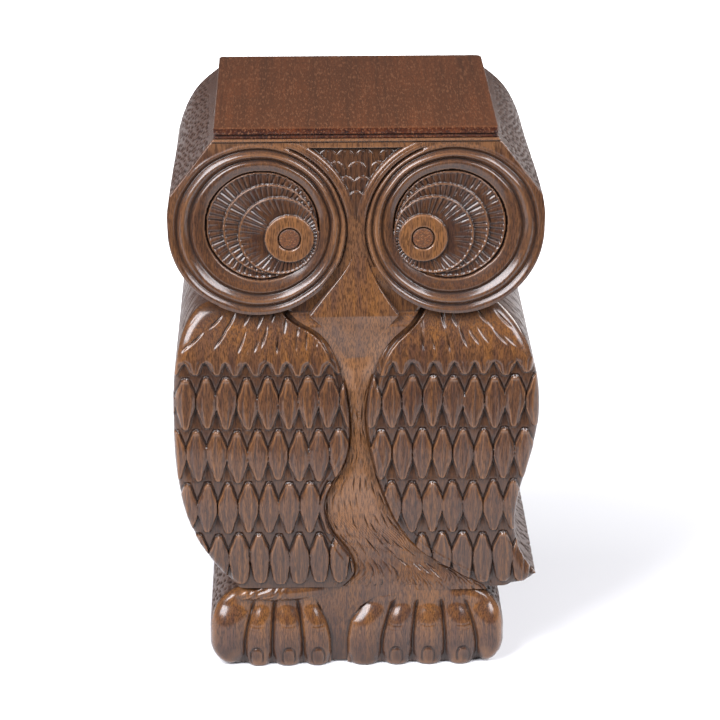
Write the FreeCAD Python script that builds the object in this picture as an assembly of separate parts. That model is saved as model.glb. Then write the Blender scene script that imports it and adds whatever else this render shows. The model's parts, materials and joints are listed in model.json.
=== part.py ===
"""Carved wooden owl plinth: a tall block-shaped owl with a flat top board.

The owl is a glued-up hollow carcass in three tiers, head, body and base.  Each tier is an outline
in the front view that runs straight from front to back.  A thick front layer (two face boards, two
wings, a breast board and two feet) and three full-height back boards are dowelled to the side
blocks between them, and four corner posts inside tie the tiers together.

Frame: +X to the right of a person facing the owl, +Y from its face to its back, +Z up.
The origin is on the floor, under the middle of the owl.  All sizes are in millimetres.
"""
import math
import os

import FreeCAD
import Part

Vector = FreeCAD.Vector

# ---- driving dimensions -------------------------------------------------------------------
height = 460.0
depth = 232.0
front_layer = 38.0
back_layer = 32.0
cavity_half_width = 70.0

base_height = 70.0
base_half_width = 121.0
base_top_radius = 38.0
base_foot_radius = 20.0
base_board_thickness = 12.0

neck_height = 314.9
top_half_width = 111.0
top_board_thickness = 8.0
top_lip = 4.5
top_groove = 1.5
top_fillet_inset = 0.8
top_groove_inset = 2.2
top_board_setback = 0.6

eye_x = 78.0
eye_z = 378.0
eye_radius = 70.3
socket_x = 74.0
socket_z = 380.4
socket_radius = 44.7
socket_depth = 9.5
# The fans stand up from the socket's floor one on the other, each nearer the beak: the places,
# radii and depths below the face of the second and third fans and of the smooth inner disc.
fans = [(68.0, 377.7, 36.5, 7.0), (61.2, 372.7, 31.4, 4.5), (52.6, 370.0, 19.2, 2.4)]
bridge_height = 345.0
face_seam = -22.6
face_inset = 1.0
back_seam = 48.0

ground_relief = 4.0
breast_relief = 12.0
feather_pitch = 16.5
feather_row = 46.0
feather_length = 44.0
feather_half_width = 7.6
first_row_top = 253.5
feather_rows = 4
shoulder_edge = 272.0
shoulder_drop = 17.0

feet_split = -9.0
toe_bulge = 10.0
toe_top = 66.0

beak_ridge_height = 307.0
beak_tip_height = 365.0
beak_point_height = 256.0
beak_half_width = 35.0

dowel_radius = 4.0
dowel_half_length = 18.0
dowel_gap = 1.0
pupil_radius = 8.5
pupil_length = 20.0
post_size = 28.0
screw_radius = 2.0
screw_length = 40.0
screw_head_radius = 4.2
screw_head_height = 3.0
screw_slot = 1.2

groove_shares = (0.36, 0.72)
groove_size = 1.8

# ---- derived places -----------------------------------------------------------------------
front = -depth / 2
back = depth / 2
layer_joint = front + front_layer
back_joint = back - back_layer
head_top = height - top_board_thickness
ground = front + ground_relief
breast_front = front + breast_relief
toe_front = front
toe_block_front = toe_front + toe_bulge
neck_half_width = eye_x + math.sqrt(eye_radius**2 - (eye_z - neck_height) ** 2)
foot_joint_half = base_half_width - base_top_radius

# Outer edges of the wings, from the neck down, as the few points that the curves pass through.
left_flank = [(-neck_half_width, neck_height), (-124, 310), (-137, 294), (-144.5, 268), (-147.3, 220),
              (-144, 160), (-130, 113), (-98, base_height)]
right_flank = [(neck_half_width, neck_height), (124, 301), (137, 280), (145, 253), (145.5, 205),
               (134, 158), (129, 125), (135, 98), (147, 79.5)]
right_tip_under = [(147, 79.5), (139, 73), (126, base_height)]

# Inner edges of the wings, from under the eyes down to the feet.
left_wing_edge = [(-62, 330), (-52, 306), (-33, 294), (-13, 258), (-6.5, 218), (-11, 178), (-25.5, 150),
                  (-20, 117), (-5, 95), (-3.5, 80), (-12, base_height)]
right_wing_edge = [(62, 330), (44, 301), (28, 285), (14, 254), (8.5, 222), (13, 184), (26, 142),
                   (47, 107), (72, 89), (104, base_height)]


# ---- small tools ----------------------------------------------------------------------------
def at(x, z, y=0.0):
    """A point from its place in the front view, and its depth."""
    return Vector(x, y, z)


def line(a, b):
    return Part.LineSegment(at(*a), at(*b)).toShape()


def arc(a, middle, b):
    return Part.Arc(at(*a), at(*middle), at(*b)).toShape()


def curve(points):
    """A smooth curve through a few points of the front view."""
    path = Part.BSplineCurve()
    path.interpolate([at(*p) for p in points])
    return path.toShape()


def path(points):
    """Straight runs through points of the front view."""
    return [line(a, b) for a, b in zip(points, points[1:])]


def slab(edges, y_front, y_back):
    """The front-view outline made of those edges, carried from y_front to y_back."""
    wire = Part.Wire(Part.__sortEdges__(edges))
    face = Part.Face(wire)
    face.translate(Vector(0, y_front, 0))
    return face.extrude(Vector(0, y_back - y_front, 0))


def block(x0, x1, y0, y1, z0, z1):
    return Part.makeBox(x1 - x0, y1 - y0, z1 - z0, Vector(x0, y0, z0))


def rod(x, z, radius, y_front, y_back):
    """A round rod that runs from front to back."""
    return Part.makeCylinder(radius, y_back - y_front, Vector(x, y_front, z), Vector(0, 1, 0))


def upright(x, y, radius, z_low, z_high):
    return Part.makeCylinder(radius, z_high - z_low, Vector(x, y, z_low), Vector(0, 0, 1))


def save(name, *solids):
    """Writes one node's solids as its STEP file."""
    whole = solids[0] if len(solids) == 1 else Part.makeCompound(list(solids))
    for solid in whole.Solids:
        if not solid.isValid() or solid.Volume <= 0:
            raise ValueError(name + " isn't a sound solid")
    whole.exportStep(os.path.join("parts", name + ".step"))
    print(name, len(whole.Solids), round(whole.Volume / 1000), "cm3")


# ---- fastenings -------------------------------------------------------------------------------
face_dowel_places = [(-100, 430), (-115, 345), (100, 430), (115, 345)]
wing_dowel_places = [(-105, 275), (-110, 190), (-92, 105), (105, 275), (110, 190), (92, 105)]
foot_dowel_places = [(-88, 22), (-100, 45), (88, 22), (100, 45)]
back_dowel_places = face_dowel_places + wing_dowel_places + foot_dowel_places
tier_dowel_places = [(-86, -40), (-86, 45), (86, -40), (86, 45)]
post_places = [(x, y)
               for x in (-cavity_half_width + post_size / 2, cavity_half_width - post_size / 2)
               for y in (layer_joint + post_size / 2, back_joint - post_size / 2)]
eyes = [("left", -1), ("right", 1)]


def dowels_across(places, joint, extra=0.0):
    """Dowels that run from front to back across a glue joint at that depth."""
    reach = dowel_half_length + extra
    return [rod(x, z, dowel_radius, joint - reach, joint + reach) for x, z in places]


def dowels_between(joint, extra=0.0):
    """Upright dowels between two tiers that meet at that height."""
    reach = dowel_half_length + extra
    return [upright(x, y, dowel_radius, joint - reach, joint + reach) for x, y in tier_dowel_places]


def beak_dowel(extra=0.0):
    return rod(0, beak_ridge_height - 2, dowel_radius, front + 5 - extra, layer_joint - 10 + extra)


def pupil(side, extra=0.0):
    """The round end-grain plug in the middle of an eye's inner disc."""
    x, z, _, level = fans[-1]
    return rod(side * x, z, pupil_radius, front + level - 20 * extra, front + level + pupil_length + extra)


def screw(x, y):
    """A countersunk wood screw with a slotted head, driven up from under the owl."""
    head = Part.makeCone(screw_head_radius, screw_radius, screw_head_height, Vector(x, y, 0.5))
    shank = upright(x, y, screw_radius, 0.5 + screw_head_height, screw_length - 6)
    tip = Part.makeCone(screw_radius, 0.4, 6, Vector(x, y, screw_length - 6))
    slot = block(x - 5, x + 5, y - screw_slot / 2, y + screw_slot / 2, 0, 0.5 + screw_slot)
    return head.fuse(shank).fuse(tip).removeSplitter().cut(slot)


def screw_hole(x, y):
    """The hole that a screw fills, open below its head."""
    mouth = upright(x, y, screw_head_radius, -1, 0.5)
    head = Part.makeCone(screw_head_radius, screw_radius, screw_head_height, Vector(x, y, 0.5))
    shank = upright(x, y, screw_radius, 0.5 + screw_head_height, screw_length + dowel_gap)
    return mouth.fuse(head).fuse(shank)


def bored(shape, holes):
    """The shape with those holes cut, as one solid."""
    cut = shape.cut(Part.makeCompound(holes)) if holes else shape
    return cut.removeSplitter()


# ---- outlines ---------------------------------------------------------------------------------
def eye_arc(side, start_z, end_z, outer):
    """Part of an eye's outer circle, between two heights, on its outer or its nose side."""
    sign = side if outer else -side

    def on_circle(z):
        return (side * eye_x + sign * math.sqrt(eye_radius**2 - (z - eye_z) ** 2), z)

    middle = (start_z + end_z) / 2
    return arc(on_circle(start_z), on_circle(middle), on_circle(end_z))


def head_side_edges(side):
    """The head's outer edge, from the top board down to the neck."""
    corner = (side * 146.0, 406.0)
    cheek = (side * (eye_x + eye_radius), eye_z)
    return [line((side * top_half_width, head_top), corner),
            arc(corner, (side * 148.2, 393.0), cheek),
            eye_arc(side, eye_z, neck_height, True)]


def flank_edges(side):
    """The body's outer edge, from the neck down to the base."""
    if side < 0:
        return [curve(left_flank)]
    return [curve(right_flank), arc(*right_tip_under)]


def base_side_edges(side):
    """The base's outer edge: a large round above, a straight stretch and a small round below."""
    x = side * base_half_width
    top_in = side * foot_joint_half
    foot_in = side * (base_half_width - base_foot_radius)
    bend = math.sqrt(0.5)
    return [arc((top_in, base_height),
                (top_in + side * base_top_radius * bend, base_height - base_top_radius * (1 - bend)),
                (x, base_height - base_top_radius)),
            line((x, base_height - base_top_radius), (x, base_foot_radius)),
            arc((x, base_foot_radius),
                (foot_in + side * base_foot_radius * bend, base_foot_radius * (1 - bend)),
                (foot_in, 0))]


def end_of(edges, highest):
    """The highest or lowest end point of a run of edges."""
    ends = [v.Point for e in edges for v in e.Vertexes]
    best = max(ends, key=lambda p: p.z) if highest else min(ends, key=lambda p: p.z)
    return (best.x, best.z)


# ---- head ---------------------------------------------------------------------------------------
def make_top_board():
    """The flat top board, with a groove and a fillet worked under its lip on all four edges."""
    y_front = front + top_board_setback

    def plate(inset, low, high):
        return block(-top_half_width + inset, top_half_width - inset, y_front + inset, back - inset, low, high)

    lip = plate(0, height - top_lip, height)
    groove = plate(top_groove_inset, height - top_lip - top_groove, height - top_lip)
    fillet = plate(top_fillet_inset, head_top, height - top_lip - top_groove)
    return lip.fuse(groove).fuse(fillet).removeSplitter()


def make_face_boards():
    """The head's front slab of two boards glued edge to edge, with both eyes and the brow carved in it."""
    edges = head_side_edges(-1)[:2] + head_side_edges(1)[:2]
    edges.append(line((-top_half_width, head_top), (top_half_width, head_top)))
    for side in (-1, 1):
        reach = side * (eye_x - math.sqrt(eye_radius**2 - (eye_z - bridge_height) ** 2))
        below = (side * eye_x, eye_z - eye_radius)
        corner_angle = math.sqrt(0.5) * eye_radius
        edges.append(arc((side * (eye_x + eye_radius), eye_z),
                         (side * (eye_x + corner_angle), eye_z - corner_angle), below))
        edges.append(arc(below, (side * (eye_x - corner_angle), eye_z - corner_angle), (reach, bridge_height)))
        edges.append(line((reach, bridge_height), (0, bridge_height)))
    board = slab(edges, front + face_inset, layer_joint)
    for side in (-1, 1):
        board = board.fuse(eye_moulding(side))
    for side in (-1, 1):
        board = board.cut(eye_socket(side))
        for share in groove_shares:
            x = side * (socket_x + (eye_x - socket_x) * share)
            z = socket_z + (eye_z - socket_z) * share
            radius = socket_radius + (eye_radius - socket_radius) * share
            board = board.cut(Part.makeTorus(radius, groove_size, Vector(x, front, z), Vector(0, 1, 0)))
    holes = dowels_across(face_dowel_places, layer_joint, dowel_gap) + [pupil(-1, 1.0), pupil(1, 1.0)]
    whole = bored(board.cut(brow_recess()), holes)
    left = block(-200, face_seam, front - 5, back, 0, height)
    right = block(face_seam, 200, front - 5, back, 0, height)
    return [whole.common(left), whole.common(right)]


def eye_moulding(side):
    """A flat disc that stands proud of the face board, which the socket and the grooves are cut into."""
    return rod(side * eye_x, eye_z, eye_radius - 3, front, front + 2 * face_inset)


def eye_socket(side):
    """What is cut away around the fans: the round socket less the fans that stand up in it."""
    hollow = rod(side * socket_x, socket_z, socket_radius, front - 5, front + socket_depth)
    for x, z, radius, level in fans:
        hollow = hollow.cut(rod(side * x, z, radius, front + level, front + socket_depth + 1))
    return hollow


def brow_recess():
    """The shallow three-sided field between the eyes that holds the brow feathers."""
    low, high = eye_z + 10, head_top - 7
    half = 36.0
    field = slab(path([(-half, high), (half, high), (0, low), (-half, high)]), front, front + 3.0)
    for side in (-1, 1):
        field = field.cut(rod(side * eye_x, eye_z, eye_radius, front - 1, front + 4))
    return field


def make_beak():
    """A kite-shaped block whose front has two flat facets that meet at a level ridge."""
    seat = breast_front
    ridge = front
    outline = [(0, beak_tip_height), (beak_half_width, beak_ridge_height),
               (0, beak_point_height), (-beak_half_width, beak_ridge_height)]
    fronts = [at(0, beak_tip_height, seat - 2), at(beak_half_width, beak_ridge_height, ridge),
              at(0, beak_point_height, seat - 0.6), at(-beak_half_width, beak_ridge_height, ridge)]
    backs = [at(x, z, seat) for x, z in outline]

    def facet(*corners):
        return Part.Face(Part.makePolygon(list(corners) + [corners[0]]))

    faces = [facet(fronts[0], fronts[1], fronts[3]), facet(fronts[2], fronts[3], fronts[1]), facet(*backs)]
    for k in range(4):
        n = (k + 1) % 4
        faces.append(facet(fronts[k], fronts[n], backs[n], backs[k]))
    solid = Part.Solid(Part.Shell(faces))
    if solid.Volume < 0:
        solid.reverse()
    return bored(solid, [beak_dowel(dowel_gap)])


def make_head_side(side):
    """The block between the face board and the back boards, on one side of the head."""
    inner = side * cavity_half_width
    edges = head_side_edges(side)
    edges += path([(side * top_half_width, head_top), (inner, head_top), (inner, neck_height),
                   end_of(edges, False)])
    holes = dowels_across(face_dowel_places, layer_joint, dowel_gap)
    holes += dowels_across(back_dowel_places, back_joint, dowel_gap)
    holes += dowels_between(neck_height, dowel_gap)
    return bored(slab(edges, layer_joint, back_joint), holes)


# ---- body ---------------------------------------------------------------------------------------
def face_prism():
    """Everything that the face board's eyes and bridge take up, to trim what meets them below."""
    eyes_space = [rod(side * eye_x, eye_z, eye_radius, front - 10, layer_joint) for side in (-1, 1)]
    bridge = block(-60, 60, front - 10, layer_joint, bridge_height, bridge_height + 40)
    return eyes_space[0].fuse(eyes_space[1]).fuse(bridge)


def wing_edges(side):
    """A wing's outline, drawn up past the eye that trims its top."""
    inner = left_wing_edge if side < 0 else right_wing_edge
    outer = flank_edges(side)
    low = end_of(outer, False)
    notch = (side * neck_half_width, neck_height)
    above = (side * neck_half_width, 330)
    return outer + [curve(inner), line(low, inner[-1])] + path([notch, above, inner[0]])


def feathers(side):
    """The rows of leaf-shaped feathers that stand out of a wing, the next row set half a step over."""
    leaves = []
    for row in range(-1, feather_rows):
        top = first_row_top - row * feather_row
        shift = 0.5 * feather_pitch * (row % 2)
        for k in range(10):
            x = side * (11.0 + shift + k * feather_pitch)
            bottom = top - feather_length
            widest = top - 0.45 * feather_length
            leaf = [arc((x, top), (x + feather_half_width, widest), (x, bottom)),
                    arc((x, bottom), (x - feather_half_width, widest), (x, top))]
            leaves.append(slab(leaf, front + 0.6, ground + 1.0))
    return leaves


def make_wing(side):
    """A thick carved wing: smooth sloping shoulder above, rows of feathers below."""
    outline = wing_edges(side)
    body = slab(outline, ground, layer_joint)
    raised = slab(outline, front + 0.6, ground + 1.0)
    shoulder = block(-160, 160, front - 5, ground + 2, shoulder_edge, 340)
    relief = raised.common(Part.makeCompound(feathers(side)).fuse(shoulder))
    wing = body.fuse(relief)
    slope = slab_yz([(front - 12, shoulder_edge), (front + 0.6, shoulder_edge),
                     (front + shoulder_drop, neck_height + 2), (front + shoulder_drop, 340),
                     (front - 12, 340)])
    wing = wing.cut(slope).cut(face_prism())
    holes = dowels_across(wing_dowel_places, layer_joint, dowel_gap)
    return bored(wing, holes)


def slab_yz(points):
    """A block across the owl's whole width whose side view has those (y, z) corners."""
    corners = [Vector(-160, y, z) for y, z in points]
    return Part.Face(Part.makePolygon(corners + [corners[0]])).extrude(Vector(320, 0, 0))


def make_breast_board():
    """The board between the wings, with a tongue that runs up between the eyes behind the beak."""
    edges = [curve(left_wing_edge), curve(right_wing_edge),
             line(left_wing_edge[0], right_wing_edge[0]), line(left_wing_edge[-1], right_wing_edge[-1])]
    board = slab(edges, breast_front, layer_joint)
    tongue = block(-40, 40, breast_front, layer_joint, 325, bridge_height)
    board = board.fuse(tongue).cut(face_prism())
    return bored(board, [beak_dowel(dowel_gap)])


def make_body_side(side):
    """The block between a wing and the back boards; its outline is the body's flank."""
    inner = side * cavity_half_width
    edges = flank_edges(side)
    low = end_of(edges, False)
    edges += path([(side * neck_half_width, neck_height), (inner, neck_height), (inner, base_height), low])
    holes = dowels_across(wing_dowel_places, layer_joint, dowel_gap)
    holes += dowels_across(back_dowel_places, back_joint, dowel_gap)
    holes += dowels_between(neck_height, dowel_gap) + dowels_between(base_height, dowel_gap)
    return bored(slab(edges, layer_joint, back_joint), holes)


# ---- base ---------------------------------------------------------------------------------------
left_toes = [-121, -94, -71.5, -45, -21]
right_toes = [-7, 22, 45.5, 72.5, 99, 121]


def make_foot(side):
    """A foot block with round toes standing out of its front."""
    edges = base_side_edges(side)
    edges += path([(side * foot_joint_half, base_height), (feet_split, base_height), (feet_split, 0),
                   (side * (base_half_width - base_foot_radius), 0)])
    foot = slab(edges, toe_block_front, layer_joint)
    bounds = left_toes if side < 0 else right_toes
    for left, right in zip(bounds, bounds[1:]):
        half = (right - left) / 2
        radius = (half**2 + toe_bulge**2) / (2 * toe_bulge)
        x, y = (left + right) / 2, toe_front + radius
        toe = upright(x, y, radius, 0, toe_top - radius)
        toe = toe.fuse(Part.makeSphere(radius, Vector(x, y, toe_top - radius)))
        foot = foot.fuse(toe.common(slab(edges, toe_front - 1, toe_block_front + 1)))
    return bored(foot, dowels_across(foot_dowel_places, layer_joint, dowel_gap))


def make_base_side(side):
    """The block between a foot and the back boards."""
    inner = side * cavity_half_width
    edges = base_side_edges(side)
    edges += path([(side * foot_joint_half, base_height), (inner, base_height), (inner, 0),
                   (side * (base_half_width - base_foot_radius), 0)])
    holes = dowels_across(foot_dowel_places, layer_joint, dowel_gap)
    holes += dowels_across(back_dowel_places, back_joint, dowel_gap)
    holes += dowels_between(base_height, dowel_gap)
    return bored(slab(edges, layer_joint, back_joint), holes)


def make_base_board():
    """The bottom board, let in flush between the base's walls."""
    board = block(-cavity_half_width, cavity_half_width, layer_joint, back_joint, 0, base_board_thickness)
    return bored(board, [screw_hole(x, y) for x, y in post_places])


# ---- back and inside ------------------------------------------------------------------------------
def make_back_boards():
    """Three full-height boards cut to the owl's whole outline: left, centre and right."""
    edges = [line((-top_half_width, head_top), (top_half_width, head_top)),
             line((-(base_half_width - base_foot_radius), 0), (base_half_width - base_foot_radius, 0))]
    for side in (-1, 1):
        flank = flank_edges(side)
        edges += head_side_edges(side) + flank + base_side_edges(side)
        edges.append(line(end_of(flank, False), (side * foot_joint_half, base_height)))
    whole = bored(slab(edges, back_joint, back), dowels_across(back_dowel_places, back_joint, dowel_gap))
    spans = [(-200, -back_seam), (-back_seam, back_seam), (back_seam, 200)]
    return [whole.common(block(a, b, back_joint - 1, back + 1, -1, height)) for a, b in spans]


def make_posts():
    """The four upright posts in the corners of the hollow, standing on the base board."""
    half = post_size / 2
    return [bored(block(x - half, x + half, y - half, y + half, base_board_thickness, head_top),
                  [screw_hole(x, y)]) for x, y in post_places]


def main():
    os.makedirs("parts", exist_ok=True)
    save("top_board", make_top_board())
    for name, board in zip(("left", "right"), make_face_boards()):
        save(name + "_face_board", board)
    save("beak", make_beak())
    save("breast_board", make_breast_board())
    for name, side in eyes:
        save(name + "_pupil_plug", pupil(side))
        save(name + "_wing", make_wing(side))
        save(name + "_foot", make_foot(side))
        save(name + "_head_side", make_head_side(side))
        save(name + "_body_side", make_body_side(side))
        save(name + "_base_side", make_base_side(side))
    for name, board in zip(("left", "centre", "right"), make_back_boards()):
        save(name + "_back_board", board)
    save("base_board", make_base_board())
    for name, post in zip(("front_left", "back_left", "front_right", "back_right"), make_posts()):
        save(name + "_corner_post", post)
    save("base_screws", *[screw(x, y) for x, y in post_places])
    save("face_dowels", *dowels_across(face_dowel_places, layer_joint))
    save("wing_dowels", *dowels_across(wing_dowel_places, layer_joint))
    save("foot_dowels", *dowels_across(foot_dowel_places, layer_joint))
    save("back_dowels", *dowels_across(back_dowel_places, back_joint))
    save("neck_dowels", *dowels_between(neck_height))
    save("waist_dowels", *dowels_between(base_height))
    save("beak_dowel", beak_dowel())


main()
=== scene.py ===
import json

import bpy
import numpy as np
from mathutils import Matrix, Vector


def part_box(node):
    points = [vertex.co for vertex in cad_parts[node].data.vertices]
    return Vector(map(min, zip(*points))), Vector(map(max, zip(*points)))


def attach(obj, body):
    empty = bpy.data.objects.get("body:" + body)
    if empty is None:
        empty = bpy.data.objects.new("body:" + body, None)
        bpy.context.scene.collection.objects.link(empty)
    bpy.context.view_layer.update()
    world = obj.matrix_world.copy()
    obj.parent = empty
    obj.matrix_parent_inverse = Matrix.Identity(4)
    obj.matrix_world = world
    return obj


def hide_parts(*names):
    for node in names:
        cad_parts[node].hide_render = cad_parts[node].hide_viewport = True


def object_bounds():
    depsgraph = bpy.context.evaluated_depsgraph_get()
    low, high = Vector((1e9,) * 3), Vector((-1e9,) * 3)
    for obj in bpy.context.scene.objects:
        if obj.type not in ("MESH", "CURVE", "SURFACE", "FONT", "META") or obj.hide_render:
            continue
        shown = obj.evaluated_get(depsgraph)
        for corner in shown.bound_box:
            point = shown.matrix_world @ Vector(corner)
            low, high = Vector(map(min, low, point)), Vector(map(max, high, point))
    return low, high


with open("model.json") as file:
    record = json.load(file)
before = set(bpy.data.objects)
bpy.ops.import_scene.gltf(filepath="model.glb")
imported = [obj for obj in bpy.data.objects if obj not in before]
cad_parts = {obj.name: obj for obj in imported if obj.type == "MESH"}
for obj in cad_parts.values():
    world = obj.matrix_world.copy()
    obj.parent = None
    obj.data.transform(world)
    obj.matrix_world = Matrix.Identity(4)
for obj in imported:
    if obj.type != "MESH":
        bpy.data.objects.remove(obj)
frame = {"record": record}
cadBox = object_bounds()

# The carved owl. Shapes are worked out in millimetres, with x to the right, y to the back and z up,
# and are made metres when they become a mesh.  Depths are counted back from the owl's front.
mm = 0.001


# A CAD node's box in millimetres: its low and its high corner.
def nodeBox(node):
    low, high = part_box(node)
    return np.array(low) / mm, np.array(high) / mm


frontY = cadBox[0][1] / mm
backY = cadBox[1][1] / mm
layerY = nodeBox("left_wing")[1][1]                    # back of the front layer
rearY = nodeBox("left_back_board")[0][1]               # front of the back boards
headTopZ = nodeBox("top_board")[0][2]
neckZ = nodeBox("left_head_side")[0][2]
baseTopZ = nodeBox("left_body_side")[0][2]
cavityX = nodeBox("base_board")[1][0]
seamX = nodeBox("left_face_board")[1][0]               # glue line between the two face boards
plugLow, plugHigh = nodeBox("right_pupil_plug")
pupilX = (plugLow[0] + plugHigh[0]) / 2
pupilZ = (plugLow[2] + plugHigh[2]) / 2
pupilLevel = plugLow[1] - frontY


# Goes from 0 at low to 1 at high as 3t^2 - 2t^3.
def softStep(low, high, value):
    t = np.clip((value - low) / (high - low), 0.0, 1.0)
    return t * t * (3.0 - 2.0 * t)


# How far a round of that radius falls away at a distance inside its edge: r - sqrt(r^2 - (r - d)^2).
def roundOver(distance, radius):
    inside = np.clip(radius - distance, 0.0, radius)
    return radius - np.sqrt(radius * radius - inside * inside)


# A smooth uneven field between -1 and 1: the mean of sine waves that run in random directions.
def waviness(a, b, size, seed, waves=7):
    draw = np.random.default_rng(seed)
    total = np.zeros(np.shape(a))
    for turn, phase, stretch in zip(draw.uniform(0, np.pi, waves), draw.uniform(0, 6.28, waves),
                                    draw.uniform(0.6, 1.6, waves)):
        total += np.sin((a * np.cos(turn) + b * np.sin(turn)) * stretch * 6.28 / size + phase)
    return total / waves * 1.8


# The points of a line at equal steps along its length.
def evenly(line, count):
    run = np.concatenate(([0.0], np.cumsum(np.hypot(*np.diff(line, axis=0).T))))
    steps = np.linspace(0.0, run[-1], count)
    return np.column_stack([np.interp(steps, run, line[:, 0]), np.interp(steps, run, line[:, 1])])


# A natural cubic through a few points: second slopes m from the usual three-term equations.
def smoothLine(points, count=400):
    p = np.array(points, float)
    knot = np.concatenate(([0.0], np.cumsum(np.hypot(*np.diff(p, axis=0).T))))
    h = np.diff(knot)
    n = len(p)
    inner = np.arange(1, n - 1)
    left = np.eye(n)
    left[inner, inner - 1] = h[:-1]
    left[inner, inner] = 2.0 * (h[:-1] + h[1:])
    left[inner, inner + 1] = h[1:]
    slope = np.diff(p, axis=0) / h[:, None]
    right = np.zeros((n, 2))
    right[1:-1] = 6.0 * np.diff(slope, axis=0)
    m = np.linalg.solve(left, right)
    fine = np.linspace(0.0, knot[-1], 3 * count)
    k = np.clip(np.searchsorted(knot, fine, "right") - 1, 0, n - 2)
    w = (fine - knot[k])[:, None]
    g = h[k][:, None]
    line = p[k] + w * (slope[k] - g * (2.0 * m[k] + m[k + 1]) / 6.0)
    line += w**2 * m[k] / 2.0 + w**3 * (m[k + 1] - m[k]) / (6.0 * g)
    return evenly(line, count)


# Points of a circle between two angles in degrees, counted from +x towards +z.
def arcLine(x, z, radius, first, last, count=200):
    turn = np.radians(np.linspace(first, last, count))
    return np.column_stack([x + radius * np.cos(turn), z + radius * np.sin(turn)])


# The nearest distance from each place to a line, segment by segment, a few rows at a time.
def distanceTo(line, x, z):
    a = evenly(line, 150)
    start, along = a[:-1], np.diff(a, axis=0)
    size = (along**2).sum(axis=1)
    spots = np.column_stack([x.ravel(), z.ravel()])

    # The gap to each segment, p - a - t d with t held in 0 to 1, and the least of them.
    def nearest(few):
        gap = few[:, None, :] - start[None]
        t = np.clip((gap * along[None]).sum(axis=2) / size[None], 0.0, 1.0)
        gap -= t[:, :, None] * along[None]
        return np.sqrt((gap**2).sum(axis=2).min(axis=1))

    return np.concatenate([nearest(few) for few in np.array_split(spots, 40)]).reshape(x.shape)


# Blends a grid between four edge lines: the sum of the two straight blends less the corners' blend.
def patchGrid(bottom, right, top, left):
    u = np.linspace(0.0, 1.0, len(bottom))[None, :, None]
    v = np.linspace(0.0, 1.0, len(left))[:, None, None]
    across = (1 - u) * left[:, None, :] + u * right[:, None, :]
    upward = (1 - v) * bottom[None, :, :] + v * top[None, :, :]
    corners = (1 - v) * ((1 - u) * bottom[0] + u * bottom[-1]) + v * ((1 - u) * top[0] + u * top[-1])
    grid = across + upward - corners
    return grid[:, :, 0], grid[:, :, 1]


# Rows at the given heights, each spread evenly from the left line to the right line.
def rowGrid(heights, leftLine, rightLine, columns):
    # The line's x at each height.
    def place(line):
        order = np.argsort(line[:, 1])
        return np.interp(heights, line[order, 1], line[order, 0])

    u = np.linspace(0.0, 1.0, columns)[None, :]
    x = place(leftLine)[:, None] * (1 - u) + place(rightLine)[:, None] * u
    return x, np.repeat(heights[:, None], columns, axis=1)


# The mean over a square of cells around each cell, from running sums.
def boxMean(field, reach):
    padded = np.pad(field, reach + 1, mode="edge")
    total = padded.cumsum(axis=0).cumsum(axis=1)
    w = 2 * reach + 1
    part = total[w:, w:] - total[:-w, w:] - total[w:, :-w] + total[:-w, :-w]
    return part[:field.shape[0], :field.shape[1]] / (w * w)


# How much deeper than its surroundings each place lies, near and far: below 0 on crests, above in cuts.
def cutField(depth, step):
    near = depth - boxMean(boxMean(depth, max(1, round(1.6 / step))), 1)
    far = depth - boxMean(boxMean(depth, max(1, round(5.0 / step))), 2)
    return np.clip(near * 0.55 + far * 0.28, -1.0, 1.0)


# Small gouge cuts on a jittered lattice: each is (1 - r^2)^2 in an ellipse turned by the given angle.
def gougeCuts(a, b, cell, size, turn, seed, keep=1.0, jitter=0.32):
    draw = np.random.default_rng(seed)
    cells = draw.uniform(-1.0, 1.0, (4, 211, 197))
    deep = np.zeros(a.shape)
    column, row = np.floor(a / cell[0]), np.floor(b / cell[1])
    for di in (-1, 0, 1):
        for dj in (-1, 0, 1):
            i, j = column + di, row + dj
            pick = (i.astype(int) % 211, j.astype(int) % 197)
            shiftA, shiftB, grow, drop = (layer[pick] for layer in cells)
            da = a - (i + 0.5 + 0.5 * (j % 2) + jitter * shiftA) * cell[0]
            db = b - (j + 0.5 + jitter * shiftB) * cell[1]
            lean = turn + 0.12 * grow
            across = da * np.cos(lean) - db * np.sin(lean)
            along = da * np.sin(lean) + db * np.cos(lean)
            scale = 1.0 + 0.28 * grow
            r2 = (across / size[0]) ** 2 + (along / (size[1] * scale)) ** 2
            one = np.clip(1.0 - r2, 0.0, 1.0) ** 2 * (0.8 + 0.3 * shiftA)
            deep = np.maximum(deep, np.where(drop < 2.0 * keep - 1.0, one, 0.0))
    return deep


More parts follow.
